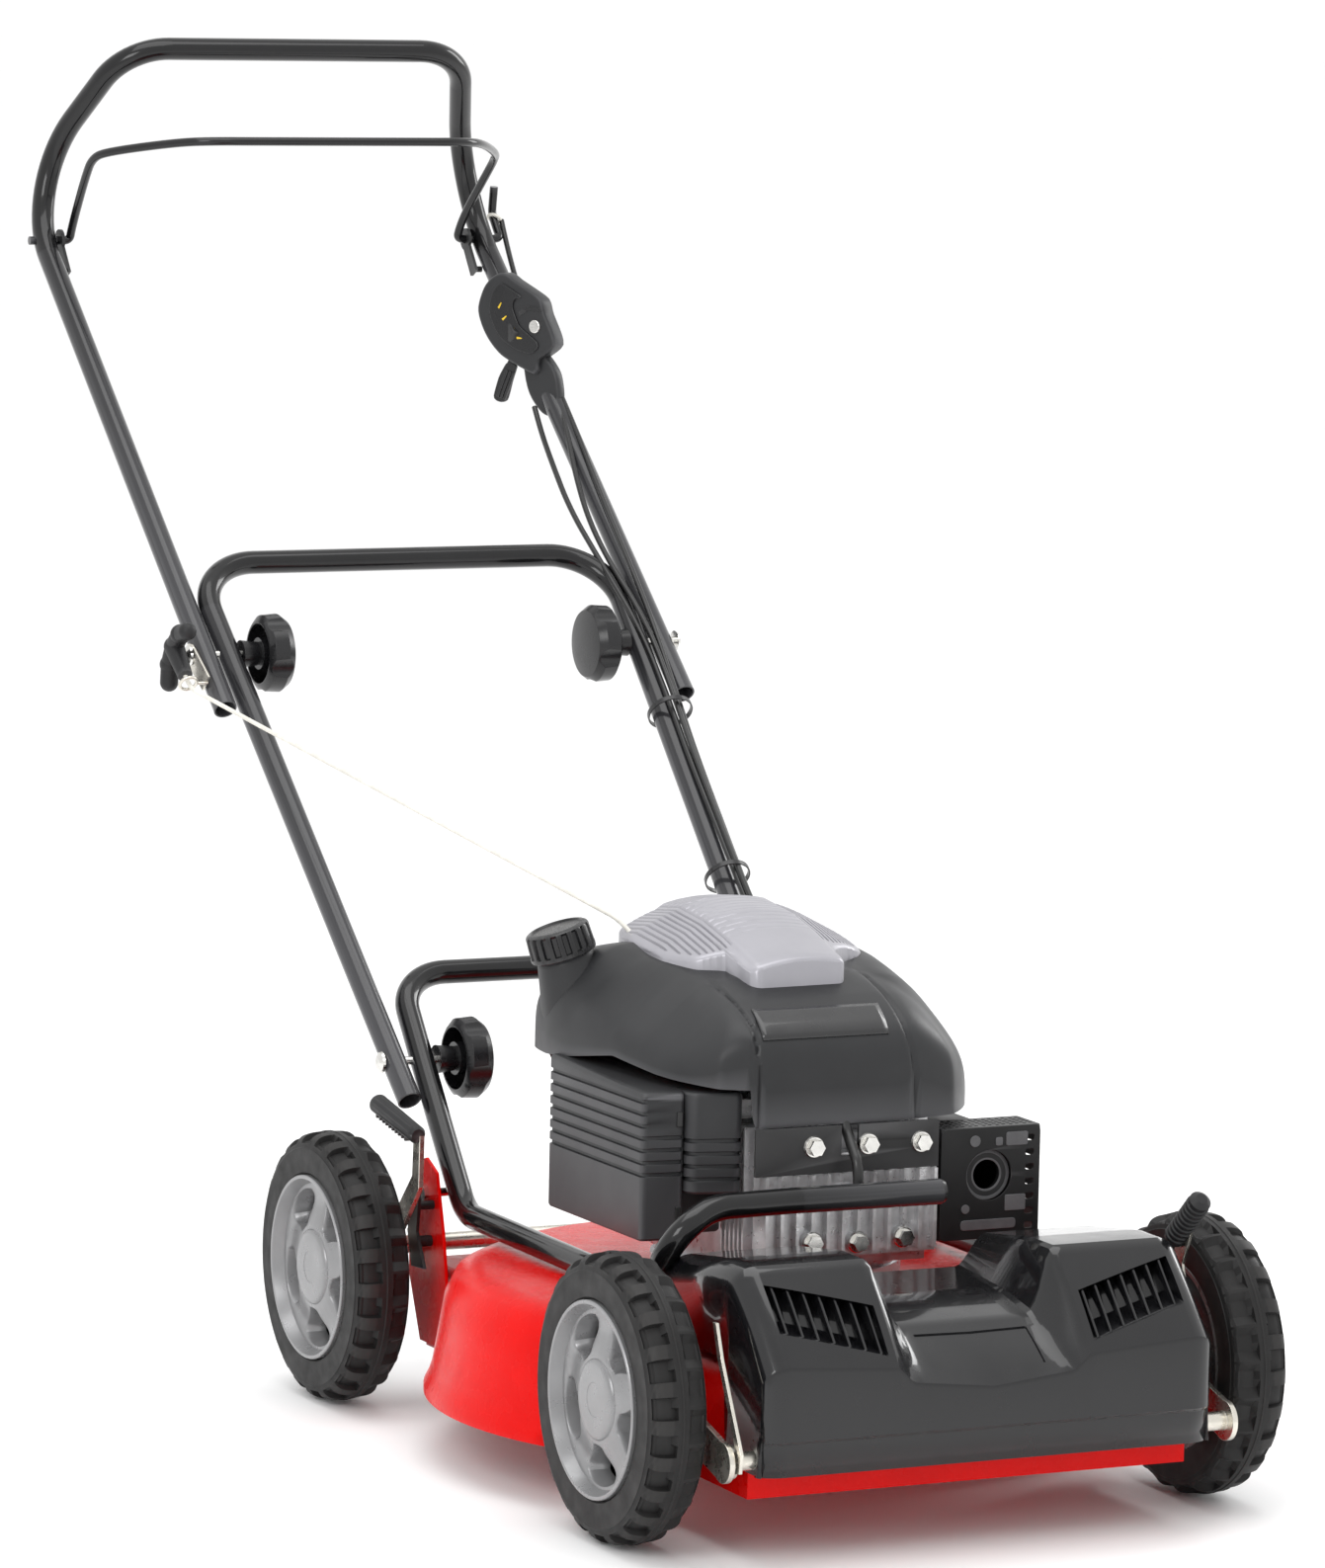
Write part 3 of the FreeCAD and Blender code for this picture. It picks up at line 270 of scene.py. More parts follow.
def smooth_step(a, b, x):
    """Rises from 0 at a to 1 at b, level at both ends. It falls when b is below a."""
    t = min(1.0, max(0.0, (x - a) / (b - a)))
    return t * t * (3 - 2 * t)


def lerp(a, b, t):
    return a + (b - a) * t


def closed_curve(points, count):
    """Evenly spaced points round a smooth closed curve through the given ones."""
    pts = [Vector((*p, 0)) for p in points]
    n = len(pts)
    dense = []
    for i in range(n):
        p0, p1, p2, p3 = pts[i - 1], pts[i], pts[(i + 1) % n], pts[(i + 2) % n]
        tension = min((p2 - p1).length, (p1 - p0).length, (p3 - p2).length) / 3
        h1 = p1 + (p2 - p0).normalized() * tension
        h2 = p2 - (p3 - p1).normalized() * tension
        dense += interpolate_bezier(p1, h1, h2, p2, 12)[:-1]
    return resample(dense, count)


def resample(points, count):
    """Evenly spaced points along a closed run of points."""
    n = len(points)
    steps = [0.0]
    for i in range(n):
        steps.append(steps[-1] + (points[(i + 1) % n] - points[i]).length)
    out = []
    k = 0
    for i in range(count):
        want = steps[-1] * i / count
        while steps[k + 1] < want:
            k += 1
        t = (want - steps[k]) / max(1e-9, steps[k + 1] - steps[k])
        p = points[k].lerp(points[(k + 1) % n], t)
        out.append((p.x, p.y))
    return out


def as_mesh(curve_object):
    """The shape of a curve object as a mesh. The object itself goes."""
    settled = curve_object.evaluated_get(bpy.context.evaluated_depsgraph_get())
    me = bpy.data.meshes.new_from_object(settled)
    bpy.data.objects.remove(curve_object)
    return me


def cord(name, points, radius, material):
    """A round cord along a NURBS line whose control points are the given ones."""
    cu = bpy.data.curves.new(name, "CURVE")
    cu.dimensions = "3D"
    cu.bevel_depth = radius * MM
    cu.bevel_resolution = 6
    cu.resolution_u = 10
    cu.use_fill_caps = True
    sp = cu.splines.new("NURBS")
    sp.points.add(len(points) - 1)
    for q, p in zip(sp.points, points):
        q.co = (*at(*p), 1)
    sp.order_u = 3
    sp.use_endpoint_u = True
    line = bpy.data.objects.new(name, cu)
    bpy.context.scene.collection.objects.link(line)
    cu.materials.append(M[material])
    me = as_mesh(line)
    me.shade_smooth()
    o = bpy.data.objects.new(name, me)
    bpy.context.scene.collection.objects.link(o)
    return o


# ------------------------ wheels
BLOCKS = 24                     # tread blocks round each side, one side half a pitch on
POCKET_START, INNER_POCKET_END, OUTER_POCKET_END = 3.0, 7.2, 11.4   # degrees into the pitch
POCKET_DEPTH = 5.0
SHOULDER_SHARE = 0.7            # of the pocket's depth, near the tyre's edge
SPOKES = 5
CELL_MID, CELL_REACH = 53.5, 20.5       # middle and half of the radii in one window's share of the face
WINDOW_MID, WINDOW_REACH = 54.5, 16.0   # the same for the window itself
CELL_HALF = 180 / SPOKES


def tyre_mesh():
    """Tread blocks and stepped pockets on both sides of a thin moulding seam."""
    outer = [(23.6, 82.2), (25.4, 84.0), (26.0, 87.5), (26.0, 96.0), (25.9, 103.6), (26.0, 104.4),
             (26.0, 105.6), (25.4, 106.2), (24.9, 107.6), (24.3, 110.0), (23.2, 112.4), (21.6, 114.6),
             (19.6, 116.2), (17.4, 117.4), (15.0, 118.1), (12.0, 118.7), (9.0, 119.0), (8.6, 119.0),
             (5.2, 119.2), (4.8, 119.2), (2.6, 119.3), (1.1, 119.3), (0.5, 120.0)]
    profile = outer + [(-x, r) for x, r in reversed(outer)]
    pitch = 360.0 / BLOCKS
    cuts = [0.0, 2.6, 3.0, 3.4, 6.4, 7.2, 7.6, 11.4, 11.8]
    angles = [i * pitch + c for i in range(BLOCKS) for c in cuts]
    rows = len(angles)
    verts = []
    for a in angles:
        for x, r in profile:
            shift = 0.0 if x > 0 else pitch / 2
            local = (a - shift) % pitch
            near = min(range(len(cuts)), key=lambda k: abs(cuts[k] - local))
            local = cuts[near] if abs(cuts[near] - local) < 0.2 else local
            depth = 0.0
            ax = abs(x)
            if 8.59 < ax < 23.4 and POCKET_START <= local <= OUTER_POCKET_END:
                depth = POCKET_DEPTH
            if 4.81 < ax < 8.7 and POCKET_START <= local <= INNER_POCKET_END:
                depth = POCKET_DEPTH
            if ax >= 21.5:
                depth *= SHOULDER_SHARE
            t = math.radians(a)
            verts.append((x, (r - depth) * math.sin(t), (r - depth) * math.cos(t)))
    cols = len(profile)
    faces = grid_faces(rows, cols, closed_rows=True)
    base = len(verts)
    back = [(-23.6, 82.2), (-20.0, 81.9), (20.0, 81.9), (23.6, 82.2)]
    for a in angles:
        t = math.radians(a)
        for x, r in back[1:-1]:
            verts.append((x, r * math.sin(t), r * math.cos(t)))
    for i in range(rows):
        j = (i + 1) % rows
        a, b = i * cols, j * cols
        faces.append((a + cols - 1, b + cols - 1, base + 2 * j, base + 2 * i))
        faces.append((base + 2 * i, base + 2 * j, base + 2 * j + 1, base + 2 * i + 1))
        faces.append((base + 2 * i + 1, base + 2 * j + 1, b, a))
    return [Vector(v) * MM for v in verts], faces


def rim_mesh():
    """Five wide spokes round a flat hub disc, with sloping-sided windows between them."""
    verts, faces = [], []

    def front(r):
        return lerp(21.5, 15.5, smooth_step(32, 60, r)) + 2.5 * smooth_step(62, 74, r)

    square = []
    for side in range(4):
        for k in range(12):
            t = -1 + 2 * k / 12
            square.append(((t, -1), (1, t), (-t, 1), (-1, -t))[side])
    count = len(square)

    def place(r, a, height):
        return (height, r * math.cos(a), r * math.sin(a))

    for s in range(SPOKES):
        spin = math.radians(54 + 2 * CELL_HALF * s)
        loops = []
        for t, drop, shrink in ((0, 0, 1), (0.5, 0, 1), (0.86, 0, 1), (0.96, 0.5, 1), (1, 1.8, 0.985),
                                (1, 5, 0.94), (1, 10, 0.85), (1, 15, 0.77), (1, 16.5, 0.77)):
            loop = []
            for u, v in square:
                ru, rv = u * math.sqrt(1 - v * v / 2), v * math.sqrt(1 - u * u / 2)
                u1 = lerp(u, ru, 0.55) * shrink * 1.06
                v1 = lerp(v, rv, 0.55) * shrink * 1.06
                wr = WINDOW_MID + WINDOW_REACH * v1
                wa = u1 * (13 + 11 * smooth_step(39, 66, wr))
                r = lerp(CELL_MID + CELL_REACH * v, wr, t)
                a = lerp(CELL_HALF * u, wa, t)
                loop.append(place(r, spin + math.radians(a), front(r) - drop))
            loops.append(loop)
        loops.append([place(CELL_MID + CELL_REACH * v, spin + math.radians(CELL_HALF * u), 2.0)
                      for u, v in square])
        start = len(verts)
        for loop in loops:
            verts.extend(loop)
        faces += grid_faces(len(loops), count, closed_cols=True, start=start)
    rows = 160

    def spun(profile, closed=False):
        start = len(verts)
        for i in range(rows):
            t = 2 * math.pi * i / rows
            verts.extend((x, r * math.cos(t), r * math.sin(t)) for x, r in profile)
        faces.extend(grid_faces(rows, len(profile), closed_rows=True, closed_cols=closed, start=start))

    spun([(14.0, 72.5), (18.0, 74.0), (21.0, 75.2), (25.5, 77.2), (28.0, 78.4), (28.4, 79.6),
          (28.2, 81.2), (27.4, 81.8), (-23.5, 81.8), (-24.0, 81.2), (-24.0, 77.6), (-23.0, 77.0),
          (4.0, 75.6), (6.0, 74.0), (6.0, 72.5)], closed=True)
    spun([(19.0, 34.6), (22.4, 33.2), (23.6, 31.8), (24.2, 29.6), (24.3, 22.0), (24.2, 14.4), (23.8, 14.0),
          (23.8, 0.01)])
    spun([(7.0, 34.0), (-10.0, 25.0), (-20.0, 22.0), (-20.0, 8.4), (10.0, 8.4)])
    return [Vector(v) * MM for v in verts], faces


def shade_backing_disc(turn):
    """Painted shade: a dark disc inside the wheel, standing in for the shade seen through the windows."""
    rows = 96
    profile = [(-8.0, 80.0), (-7.0, 60.0), (-9.0, 40.0), (-9.0, 20.0), (-12.0, 20.0), (-12.0, 80.0)]
    verts = []
    for i in range(rows):
        t = 2 * math.pi * i / rows
        verts.extend(turn @ (Vector((x, r * math.cos(t), r * math.sin(t))) * MM) for x, r in profile)
    return verts, grid_faces(rows, len(profile), closed_rows=True, closed_cols=True)


tyre_verts, tyre_faces = tyre_mesh()
rim_verts, rim_faces = rim_mesh()
for corner in ("front_left", "front_right", "rear_left", "rear_right"):
    low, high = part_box("tyre_" + corner)
    mid = (low + high) / 2
    side = -1 if mid.x < 0 else 1
    turn = Matrix.Translation(mid) @ Matrix.Scale(side, 4, (1, 0, 0))
    for kind, verts, faces, material in (("tyre", tyre_verts, tyre_faces, "tyre_black"),
                                         ("rim", rim_verts, rim_faces, "rim_silver")):
        me = mesh_of(kind + "_" + corner + "_detail", [turn @ v for v in verts], faces,
                     sharp=24 if kind == "tyre" else 30)
        show(kind + "_" + corner + "_detail", me, "wheel_" + corner, material, kind + "_" + corner)
    # Dark disc behind the rim's windows, put there as painted shade.
    shade_disc_verts, shade_disc_faces = shade_backing_disc(turn)
    show("shade_disc_" + corner, mesh_of("shade_disc_" + corner, shade_disc_verts, shade_disc_faces), "wheel_" + corner, "cap_black")


# ------------------------ engine housing
PLAN = [(-99, 110), (-92, 108), (44, 108), (56, 110), (96, 121), (132, 168), (150, 240), (150, 320),
    (122, 384), (70, 413), (-20, 416), (-92, 414), (-138, 408), (-172, 388), (-183, 345), (-180, 290),
    (-168, 225), (-150, 160), (-125, 121)]


def along(knots, value):
    """Linear reading between (position, height) pairs, flat beyond both ends."""
    if value <= knots[0][0]:
        return knots[0][1]
    for (a, za), (b, zb) in zip(knots[:-1], knots[1:]):
        if value <= b:
            return lerp(za, zb, (value - a) / (b - a))
    return knots[-1][1]


RIDGE = [(105, 396), (118, 401), (160, 416), (200, 428), (260, 438), (320, 444), (360, 439), (416, 412)]


def shroud_top(x, y):
    """Height of the housing's upper skin over the plan, before its edges round over."""
    rear = smooth_step(230, 340, y)
    left = smooth_step(lerp(-98, -128, rear), lerp(-165, -182, rear), x) * lerp(30, 12, rear)
    right = 6 * smooth_step(50, 84, x) - 40 * smooth_step(84, 152, x)
    return along(RIDGE, y) - left + right * smooth_step(120, 200, y) - 8 * smooth_step(56, 100, x)


def shroud_foot(x, y):
    """The housing's lower edge: cut away over the air filter box on the left."""
    over_filter = smooth_step(-98.5, -100, x) * (1 - smooth_step(398, 410, y))
    return lerp(314.0, along([(110, 346), (180, 352), (236, 360), (300, 350), (340, 346)], y), over_filter)


def shroud_mesh():
    columns, rows = 460, 60
    outline = closed_curve(PLAN, columns)
    heart = Vector((-12, 262))
    groove_depth, groove_width, left_groove = 2.4, 1.6, -94.5
    verts = []
    for i in range(rows):
        phi = math.pi / 2 * (i / (rows - 1)) ** 0.85
        for px, py in outline:
            flank = max(smooth_step(60, 120, px), smooth_step(-104, -150, px), smooth_step(330, 400, py))
            n = lerp(6.8, lerp(3.3, 5.0, smooth_step(300, 380, py) * smooth_step(-100, -150, px)), flank)
            r = math.cos(phi) ** (2 / n)
            h = math.sin(phi) ** (2 / n)
            x = lerp(heart.x, px, r)
            y = lerp(heart.y, py, r)
            foot = shroud_foot(px, py)
            z = foot + (shroud_top(x, y) - foot) * h
            inset = 0.0
            right_groove = lerp(56.0, 47.0, smooth_step(320, 400, z))
            for gx in (left_groove, right_groove):
                groove = groove_depth * math.exp(-((x - gx) / groove_width) ** 2)
                inset += groove * (1 - smooth_step(190, 215, y))
            out = Vector((x - heart.x, y - heart.y, (z - 314) * 1.2)).normalized()
            verts.append(at(*(Vector((x, y, z)) - out * inset)))
    faces = grid_faces(rows, columns, closed_cols=True)
    faces.append(tuple(range((rows - 1) * columns, rows * columns)))
    inner = len(verts)
    for shrink, rise in ((0.975, 0.0), (0.88, 0.45)):
        for px, py in outline:
            x = lerp(heart.x, px, shrink)
            y = lerp(heart.y, py, shrink)
            foot = shroud_foot(px, py)
            verts.append(at(x, y, foot + (shroud_top(x, y) - foot) * rise))
    for k in range(columns):
        n = (k + 1) % columns
        faces.append((k, n, inner + n, inner + k))
        faces.append((inner + k, inner + n, inner + columns + n, inner + columns + k))
    return mesh_of("engine_housing", verts, faces, sharp=50)


show("engine_housing", shroud_mesh(), "chassis", "housing_grey", "engine_shroud")


# ------------------------ starter cover
COVER = [(-68, 182), (-60, 177), (14, 178), (21, 184), (21, 198), (28, 214), (46, 230), (66, 244),
    (78, 268), (78, 330), (62, 378), (20, 402), (-50, 403), (-94, 384), (-113, 334), (-111, 270),
    (-96, 234), (-72, 218), (-71, 196)]
COVER_MIDDLE = -22
WING_START = 42                 # distance from the middle where the long slots begin
EDGE_RADIUS = 3.5


def in_wing(x):
    """Whether x lies in one of the two sides that carry the long slots."""
    return abs(x - COVER_MIDDLE) > WING_START


def cover_height(x, y):
    """Height of the cover over the plan: a crown from front to back, with a raised middle."""
    crown = along([(176, 441), (186, 445), (200, 449), (220, 455), (240, 461), (280, 470), (330, 475),
                   (370, 470), (404, 454)], y)
    return crown - 31 * (abs(x + 18) / 95) ** 2.1 + 2.5 * smooth_step(46, 38, abs(x - COVER_MIDDLE))


def cover_mesh():
    outline = closed_curve(COVER, 720)
    tree = KDTree(len(outline))
    for i, (x, y) in enumerate(outline):
        tree.insert((x, y, 0), i)
    tree.balance()
    cut_at = set()
    low, high = min(x for x, y in outline), max(x for x, y in outline)
    xs = [low + 0.02, low + 0.6]
    x = low + 1.6
    while x < high - 1.0:
        if in_wing(x):
            xs += [x, x + 0.6, x + 2.0, x + 2.6]
            cut_at.update((x + 0.6, x + 2.0))
            x += 5.2
        else:
            xs += [x, x + 1.5]
            x += 3.0
    xs += [high - 0.6, high - 0.02]
    rows = 190
    top = []
    for x in xs:
        hits = []
        for (ax, ay), (bx, by) in zip(outline, outline[1:] + outline[:1]):
            if (ax - x) * (bx - x) <= 0 and ax != bx:
                hits.append(lerp(ay, by, (x - ax) / (bx - ax)))
        y0, y1 = min(hits), max(hits)
        column = []
        for j in range(rows):
            y = lerp(y0, y1, j / (rows - 1))
            edge = tree.find((x, y, 0))[2]
            column.append((x, y, edge))
        top.append(column)
    verts = []
    for column in top:
        for x, y, edge in column:
            z = cover_height(x, y)
            inside = smooth_step(5, 6.5, edge)
            if in_wing(x):
                z -= (1.9 if x in cut_at else 0.0) * inside * smooth_step(226, 229, y)
            else:
                phase = abs(((y - 238) % 9.0) - 4.5)
                z -= 0.7 * smooth_step(3.4, 4.2, phase) * inside * smooth_step(236, 240, y)
            if edge < EDGE_RADIUS:
                z -= EDGE_RADIUS * (1 - math.sqrt(max(0.0, 1 - (1 - edge / EDGE_RADIUS) ** 2)))
            verts.append((x, y, z))
    faces = grid_faces(len(xs), rows)
    last = (len(xs) - 1) * rows
    rim = [i * rows for i in range(len(xs))]
    rim += [last + j for j in range(1, rows)]
    rim += [i * rows + rows - 1 for i in range(len(xs) - 2, -1, -1)]
    rim += list(range(rows - 2, 0, -1))
    skirt = len(verts)
    for k in rim:
        x, y, z = verts[k]
        verts.append((x, y, min(z - 2, shroud_top(x, y) - 6 - 30 * smooth_step(345, 400, y))))
    n = len(rim)
    for k in range(n):
        faces.append((rim[k], rim[(k + 1) % n], skirt + (k + 1) % n, skirt + k))
    return mesh_of("starter_cover", [at(*v) for v in verts], faces, sharp=30)


show("starter_cover", cover_mesh(), "chassis", "cover_silver", "engine_cover")


def rounded_outline(points, radius, steps=4):
    """Corner points joined by short arcs, going round once."""
    out = []
    n = len(points)
    for i in range(n):
        p0, p1, p2 = Vector(points[i - 1]), Vector(points[i]), Vector(points[(i + 1) % n])
        back, fore = (p0 - p1), (p2 - p1)
        r = min(radius, back.length * 0.45, fore.length * 0.45)
        a, b = p1 + back.normalized() * r, p1 + fore.normalized() * r
        for k in range(steps + 1):
            t = k / steps
            out.append(a * (1 - t) ** 2 + p1 * 2 * t * (1 - t) + b * t * t)
    return [(p.x, p.y) for p in out]


def stacked(name, layers, sharp=30):
    """A solid skinned over outlines of equal length, each given as a list of (x, y, z)."""
    verts = [at(*p) for layer in layers for p in layer]
    n = len(layers[0])
    faces = grid_faces(len(layers), n, closed_cols=True)
    faces.append(tuple(range(n))[::-1])
    faces.append(tuple(range((len(layers) - 1) * n, len(layers) * n)))
    return mesh_of(name, verts, faces, sharp=sharp)


GROOVE_DEPTH = 2.2


def filter_box(name, outline, low, top_of, grooves, wraps):
    """Box with moulded lines round its sides.

    grooves holds the first and last line's heights and their count, and wraps says which points
    the line of a given number cuts.
    """
    base = rounded_outline(outline, 5)
    heart = Vector((sum(x for x, y in base) / len(base), sum(y for x, y in base) / len(base)))
    first, last, count = grooves
    levels = [(low, 2.0, None), (low + 2.0, 0.0, None)]
    for k in range(count):
        z = lerp(first, last, k / (count - 1))
        levels += [(z - 2.0, 0.0, None), (z - 1.2, 0.0, k), (z + 1.2, 0.0, k), (z + 2.0, 0.0, None)]
    layers = []
    for z, inset, groove in levels:
        layer = []
        for x, y in base:
            inward = (heart - Vector((x, y))).normalized()
            d = inset
            if groove is not None and wraps(x, y, groove):
                d = GROOVE_DEPTH
                if x < heart.x - 12:
                    inward = Vector((1, 0))
            layer.append((x + inward.x * d, y + inward.y * d, z))
        layers.append(layer)
    for down, inset in ((5.0, 0.0), (2.5, 0.7), (0.8, 2.4), (0.0, 5.0), (0.0, 14.0)):
        layer = []
        for x, y in base:
            inward = (heart - Vector((x, y))).normalized()
            layer.append((x + inward.x * inset, y + inward.y * inset, top_of(y) - down))
        layers.append(layer)
    return stacked(name, layers, sharp=26)


main_plan = [(-186, 141), (-151, 138), (-147, 142), (-147, 160), (-101, 162), (-101, 300), (-189, 322)]
main_box = filter_box("filter_box", main_plan, 218, lambda y: along([(140, 343), (320, 350)], y),
                      (274, 336, 7), lambda x, y, k: x < -176 or (y < 148 and x < -150 and k < 4))
show("filter_box", main_box, "chassis", "housing_grey", "air_filter_cover")
column_plan = [(-147, 139), (-142, 132), (-106, 123), (-100, 127), (-100, 165), (-147, 165)]
column_box = filter_box("filter_column", column_plan, 257, lambda y: 343, (269.5, 302, 4),
                        lambda x, y, k: y < 150)
show("filter_column", column_box, "chassis", "housing_grey")
LATCH_X, LATCH_Y = -153, 138.6
LATCH_HALF_WIDTH, LATCH_HALF_HEIGHT = 2.6, 6.5
SQUARE = ((-1, -1), (1, -1), (1, 1), (-1, 1))
latch_ring = [(sx * LATCH_HALF_WIDTH, sz * LATCH_HALF_HEIGHT) for sx, sz in SQUARE]
for k, z in enumerate((320, 240)):
    latch_verts = [at(LATCH_X + dx, LATCH_Y + dy, z + dz) for dy in (-1.6, 3) for dx, dz in latch_ring]
    latch_mesh = mesh_of(f"filter_latch_{k}", latch_verts, BOX_FACES, smooth=False)
    latch = show(f"filter_latch_{k}", latch_mesh, "chassis", "cable_black")
    latch_edge = latch.modifiers.new("edges", "BEVEL")
    latch_edge.width = 0.9 * MM
    latch_edge.segments = 3


def lathed(name, profile, origin, axis, count=72, ribs=0, rib_depth=0.0, ribbed=(0, 0), sharp=35):
    """A turned piece: (distance along axis, radius) pairs about a line, ribbed between two distances."""
    axis = Vector(axis).normalized()
    side = axis.orthogonal().normalized()
    other = axis.cross(side)
    verts = []
    for i in range(count):
        t = 2 * math.pi * i / count
        out = side * math.cos(t) + other * math.sin(t)
        between_ribs = i * ribs // count * 2 != i * ribs * 2 // count
        for d, r in profile:
            cut = rib_depth if between_ribs and ribbed[0] <= d <= ribbed[1] else 0
            verts.append(at(*(Vector(origin) + axis * d + out * (r - cut))))
    return mesh_of(name, verts, grid_faces(count, len(profile), closed_rows=True), sharp=sharp)


CAP_BASE = Vector((-164, 349, 429))
CAP_AXIS = Vector((-20, 4, 62)).normalized()
neck_profile = [(-46, 34), (-34, 31.5), (-20, 28.5), (-10, 26.5), (-4, 25.2), (-1.5, 24.6), (0, 23.5),
                (0, 20.0), (-40, 20.0)]
neck = lathed("filler_neck", neck_profile, CAP_BASE, CAP_AXIS)
show("filler_neck", neck, "chassis", "housing_grey", "fuel_tank")
cap_profile = [(1.0, 21.0), (1.0, 28.2), (1.8, 28.8), (5.0, 29.0), (6.0, 28.9), (7.0, 28.8), (22.0, 28.2),
               (24.2, 27.2), (25.6, 25.0), (26.0, 22.4), (24.6, 21.2), (24.4, 6.0), (25.0, 0.02)]
cap = lathed("filler_cap", cap_profile, CAP_BASE, CAP_AXIS, count=216, ribs=18, rib_depth=2.2,
             ribbed=(5.9, 22.5), sharp=28)
show("filler_cap", cap, "fuel_cap", "cap_black", "fuel_cap")


# ------------------------ front cowl
FOREMOST = -143.9               # the cowl's front stays inside the part's own length
VENT_START, VENT_END = 95, 186
PANEL_EDGE = 51.3               # the recessed middle panel reaches this far out
COWL_FOOT, COWL_TUCK = 76.0, 160.0


def cowl_profile(a):
    """Side profile (y, z) at distance a from the centre: four foot points, two of panel, three behind."""
    hump = smooth_step(60, 88, a)
    crest = along([(0, 139), (74, 147), (88, 160), (200, 168)], a)
    t = min(1.0, max(0.0, (a - 184) / 22))
    pull = 1 - math.sqrt(max(0.0, 1 - t * t))
    foot = [(-138, COWL_FOOT), (-140.5, 103), (-143.4, 106), (FOREMOST, crest - 4)]
    panel = [(-143.4, crest), (-86 + 6 * hump, lerp(182, 234, hump))]
    rear = [(-80 + 6 * hump, lerp(184, 237, hump)), (-38, lerp(192, 237, hump)), (44, lerp(199, 226, hump))]
    bent = [(y + 12 * pull, z - 17 * pull) for y, z in panel + rear]
    return [(y + 12 * pull, z - (12 * pull if z > 110 else 0)) for y, z in foot] + bent


def recess_span(a):
    """Where the recess starts and ends on the sloping panel, as shares of its length."""
    if a < VENT_START:
        low = along([(0, 0.20), (52, 0.20), (VENT_START, 0.11)], a)
        high = along([(0, 0.82), (52, 0.82), (VENT_START, 0.59)], a)
        return low, high
    vent = min(1.0, (a - VENT_START) / (VENT_END - VENT_START))
    return lerp(0.11, 0.34, vent), lerp(0.59, 0.85, vent)


def cowl_mesh():
    marks = [0, 20, 40, 51.3, 52, 60, 64, 68, 72, 76, 80, 84, 88, 94.4, 95, 110, 125, 140, 155, 170,
        185.4, 186, 190, 193, 196, 198, 200, 202, 203.5, 204.8, 205.6, 206]
    xs = [-a for a in marks[:0:-1]] + marks
    verts = []
    for x in xs:
        a = abs(x)
        profile = cowl_profile(a)
        foot, panel, rear = profile[:4], profile[4:6], profile[6:]
        low, high = recess_span(a)
        steps = [0, 0.02, 0.05, low * 0.6, low, low + 0.008]
        steps += [lerp(low, high, k / 6) for k in range(1, 6)]
        steps += [high - 0.008, high, lerp(high, 1, 0.5), 0.95, 1]
        (y0, z0), (y1, z1) = panel
        column = list(foot)
        start = len(column)
        for f in steps:
            soft = 1.6 * math.sin(math.pi * f)
            column.append((max(FOREMOST, lerp(y0, y1, f) - soft * 0.7), lerp(z0, z1, f) + soft * 0.7))
        column += rear
        for j, (y, z) in enumerate(column):
            k = j - start
            if 5 <= k <= 11:
                if VENT_START <= a < VENT_END:
                    y, z = y + 28, z + 6
                elif a <= PANEL_EDGE:
                    y, z = y + 1.1, z - 1.0
            verts.append((x, y, z))
        width = len(column)
    faces = grid_faces(len(xs), width)
    for end in (0, len(xs) - 1):
        first = end * width
        base = len(verts)
        for j in range(width):
            x, y, z = verts[first + j]
            verts.append((x, y, COWL_FOOT if y < -62 else COWL_TUCK))
        for j in range(width - 1):
            faces.append((first + j, first + j + 1, base + j + 1, base + j))
    return mesh_of("front_cowl_shell", [at(*v) for v in verts], faces, sharp=24)


cowl = show("front_cowl_shell", cowl_mesh(), "chassis", "cowl_black", "front_cowl")
shell = cowl.modifiers.new("shell", "SOLIDIFY")
shell.thickness = 2.2 * MM
shell.offset = -1

FIRST_FIN, FIN_PITCH, FIN_HALF_THICK = 99.5, 13.2, 1.2
fins_verts, fins_faces = [], []
for side in (-1, 1):
    for k in range(7):
        a = FIRST_FIN + FIN_PITCH * k
        (y0, z0), (y1, z1) = cowl_profile(a)[4:6]
        low, high = recess_span(a)
        foot = (lerp(y0, y1, low) + 1.0, lerp(z0, z1, low) + 0.5)
        head = (lerp(y0, y1, high) + 1.2, lerp(z0, z1, high) + 0.4)
        section = [foot, head, (head[0] + 27, head[1] + 6), (foot[0] + 8, foot[1] + 4)]
        start = len(fins_verts)
        for dx in (-FIN_HALF_THICK, FIN_HALF_THICK):
            fins_verts += [at(side * (a + dx), y, z) for y, z in section]
        fins_faces += [tuple(start + i for i in f) for f in BOX_FACES]
fins_mesh = mesh_of("cowl_fins", fins_verts, fins_faces, smooth=False)
fins = show("cowl_fins", fins_mesh, "chassis", "cowl_black")
fin_edge = fins.modifiers.new("edges", "BEVEL")
fin_edge.width = 0.7 * MM
fin_edge.segments = 2


# ------------------------ deck
deck_src = frame["nodes"]["deck"]
bm = bmesh.new()
bm.from_mesh(deck_src.data)
bmesh.ops.remove_doubles(bm, verts=bm.verts, dist=WELD)
deck_mesh = bpy.data.meshes.new("deck_skin")
bm.to_mesh(deck_mesh)
bm.free()
deck_mesh.materials.clear()
deck_mesh.shade_smooth()
deck_mesh.set_sharp_from_angle(angle=math.radians(36))
show("deck_skin", deck_mesh, "chassis", "red_paint", "deck")


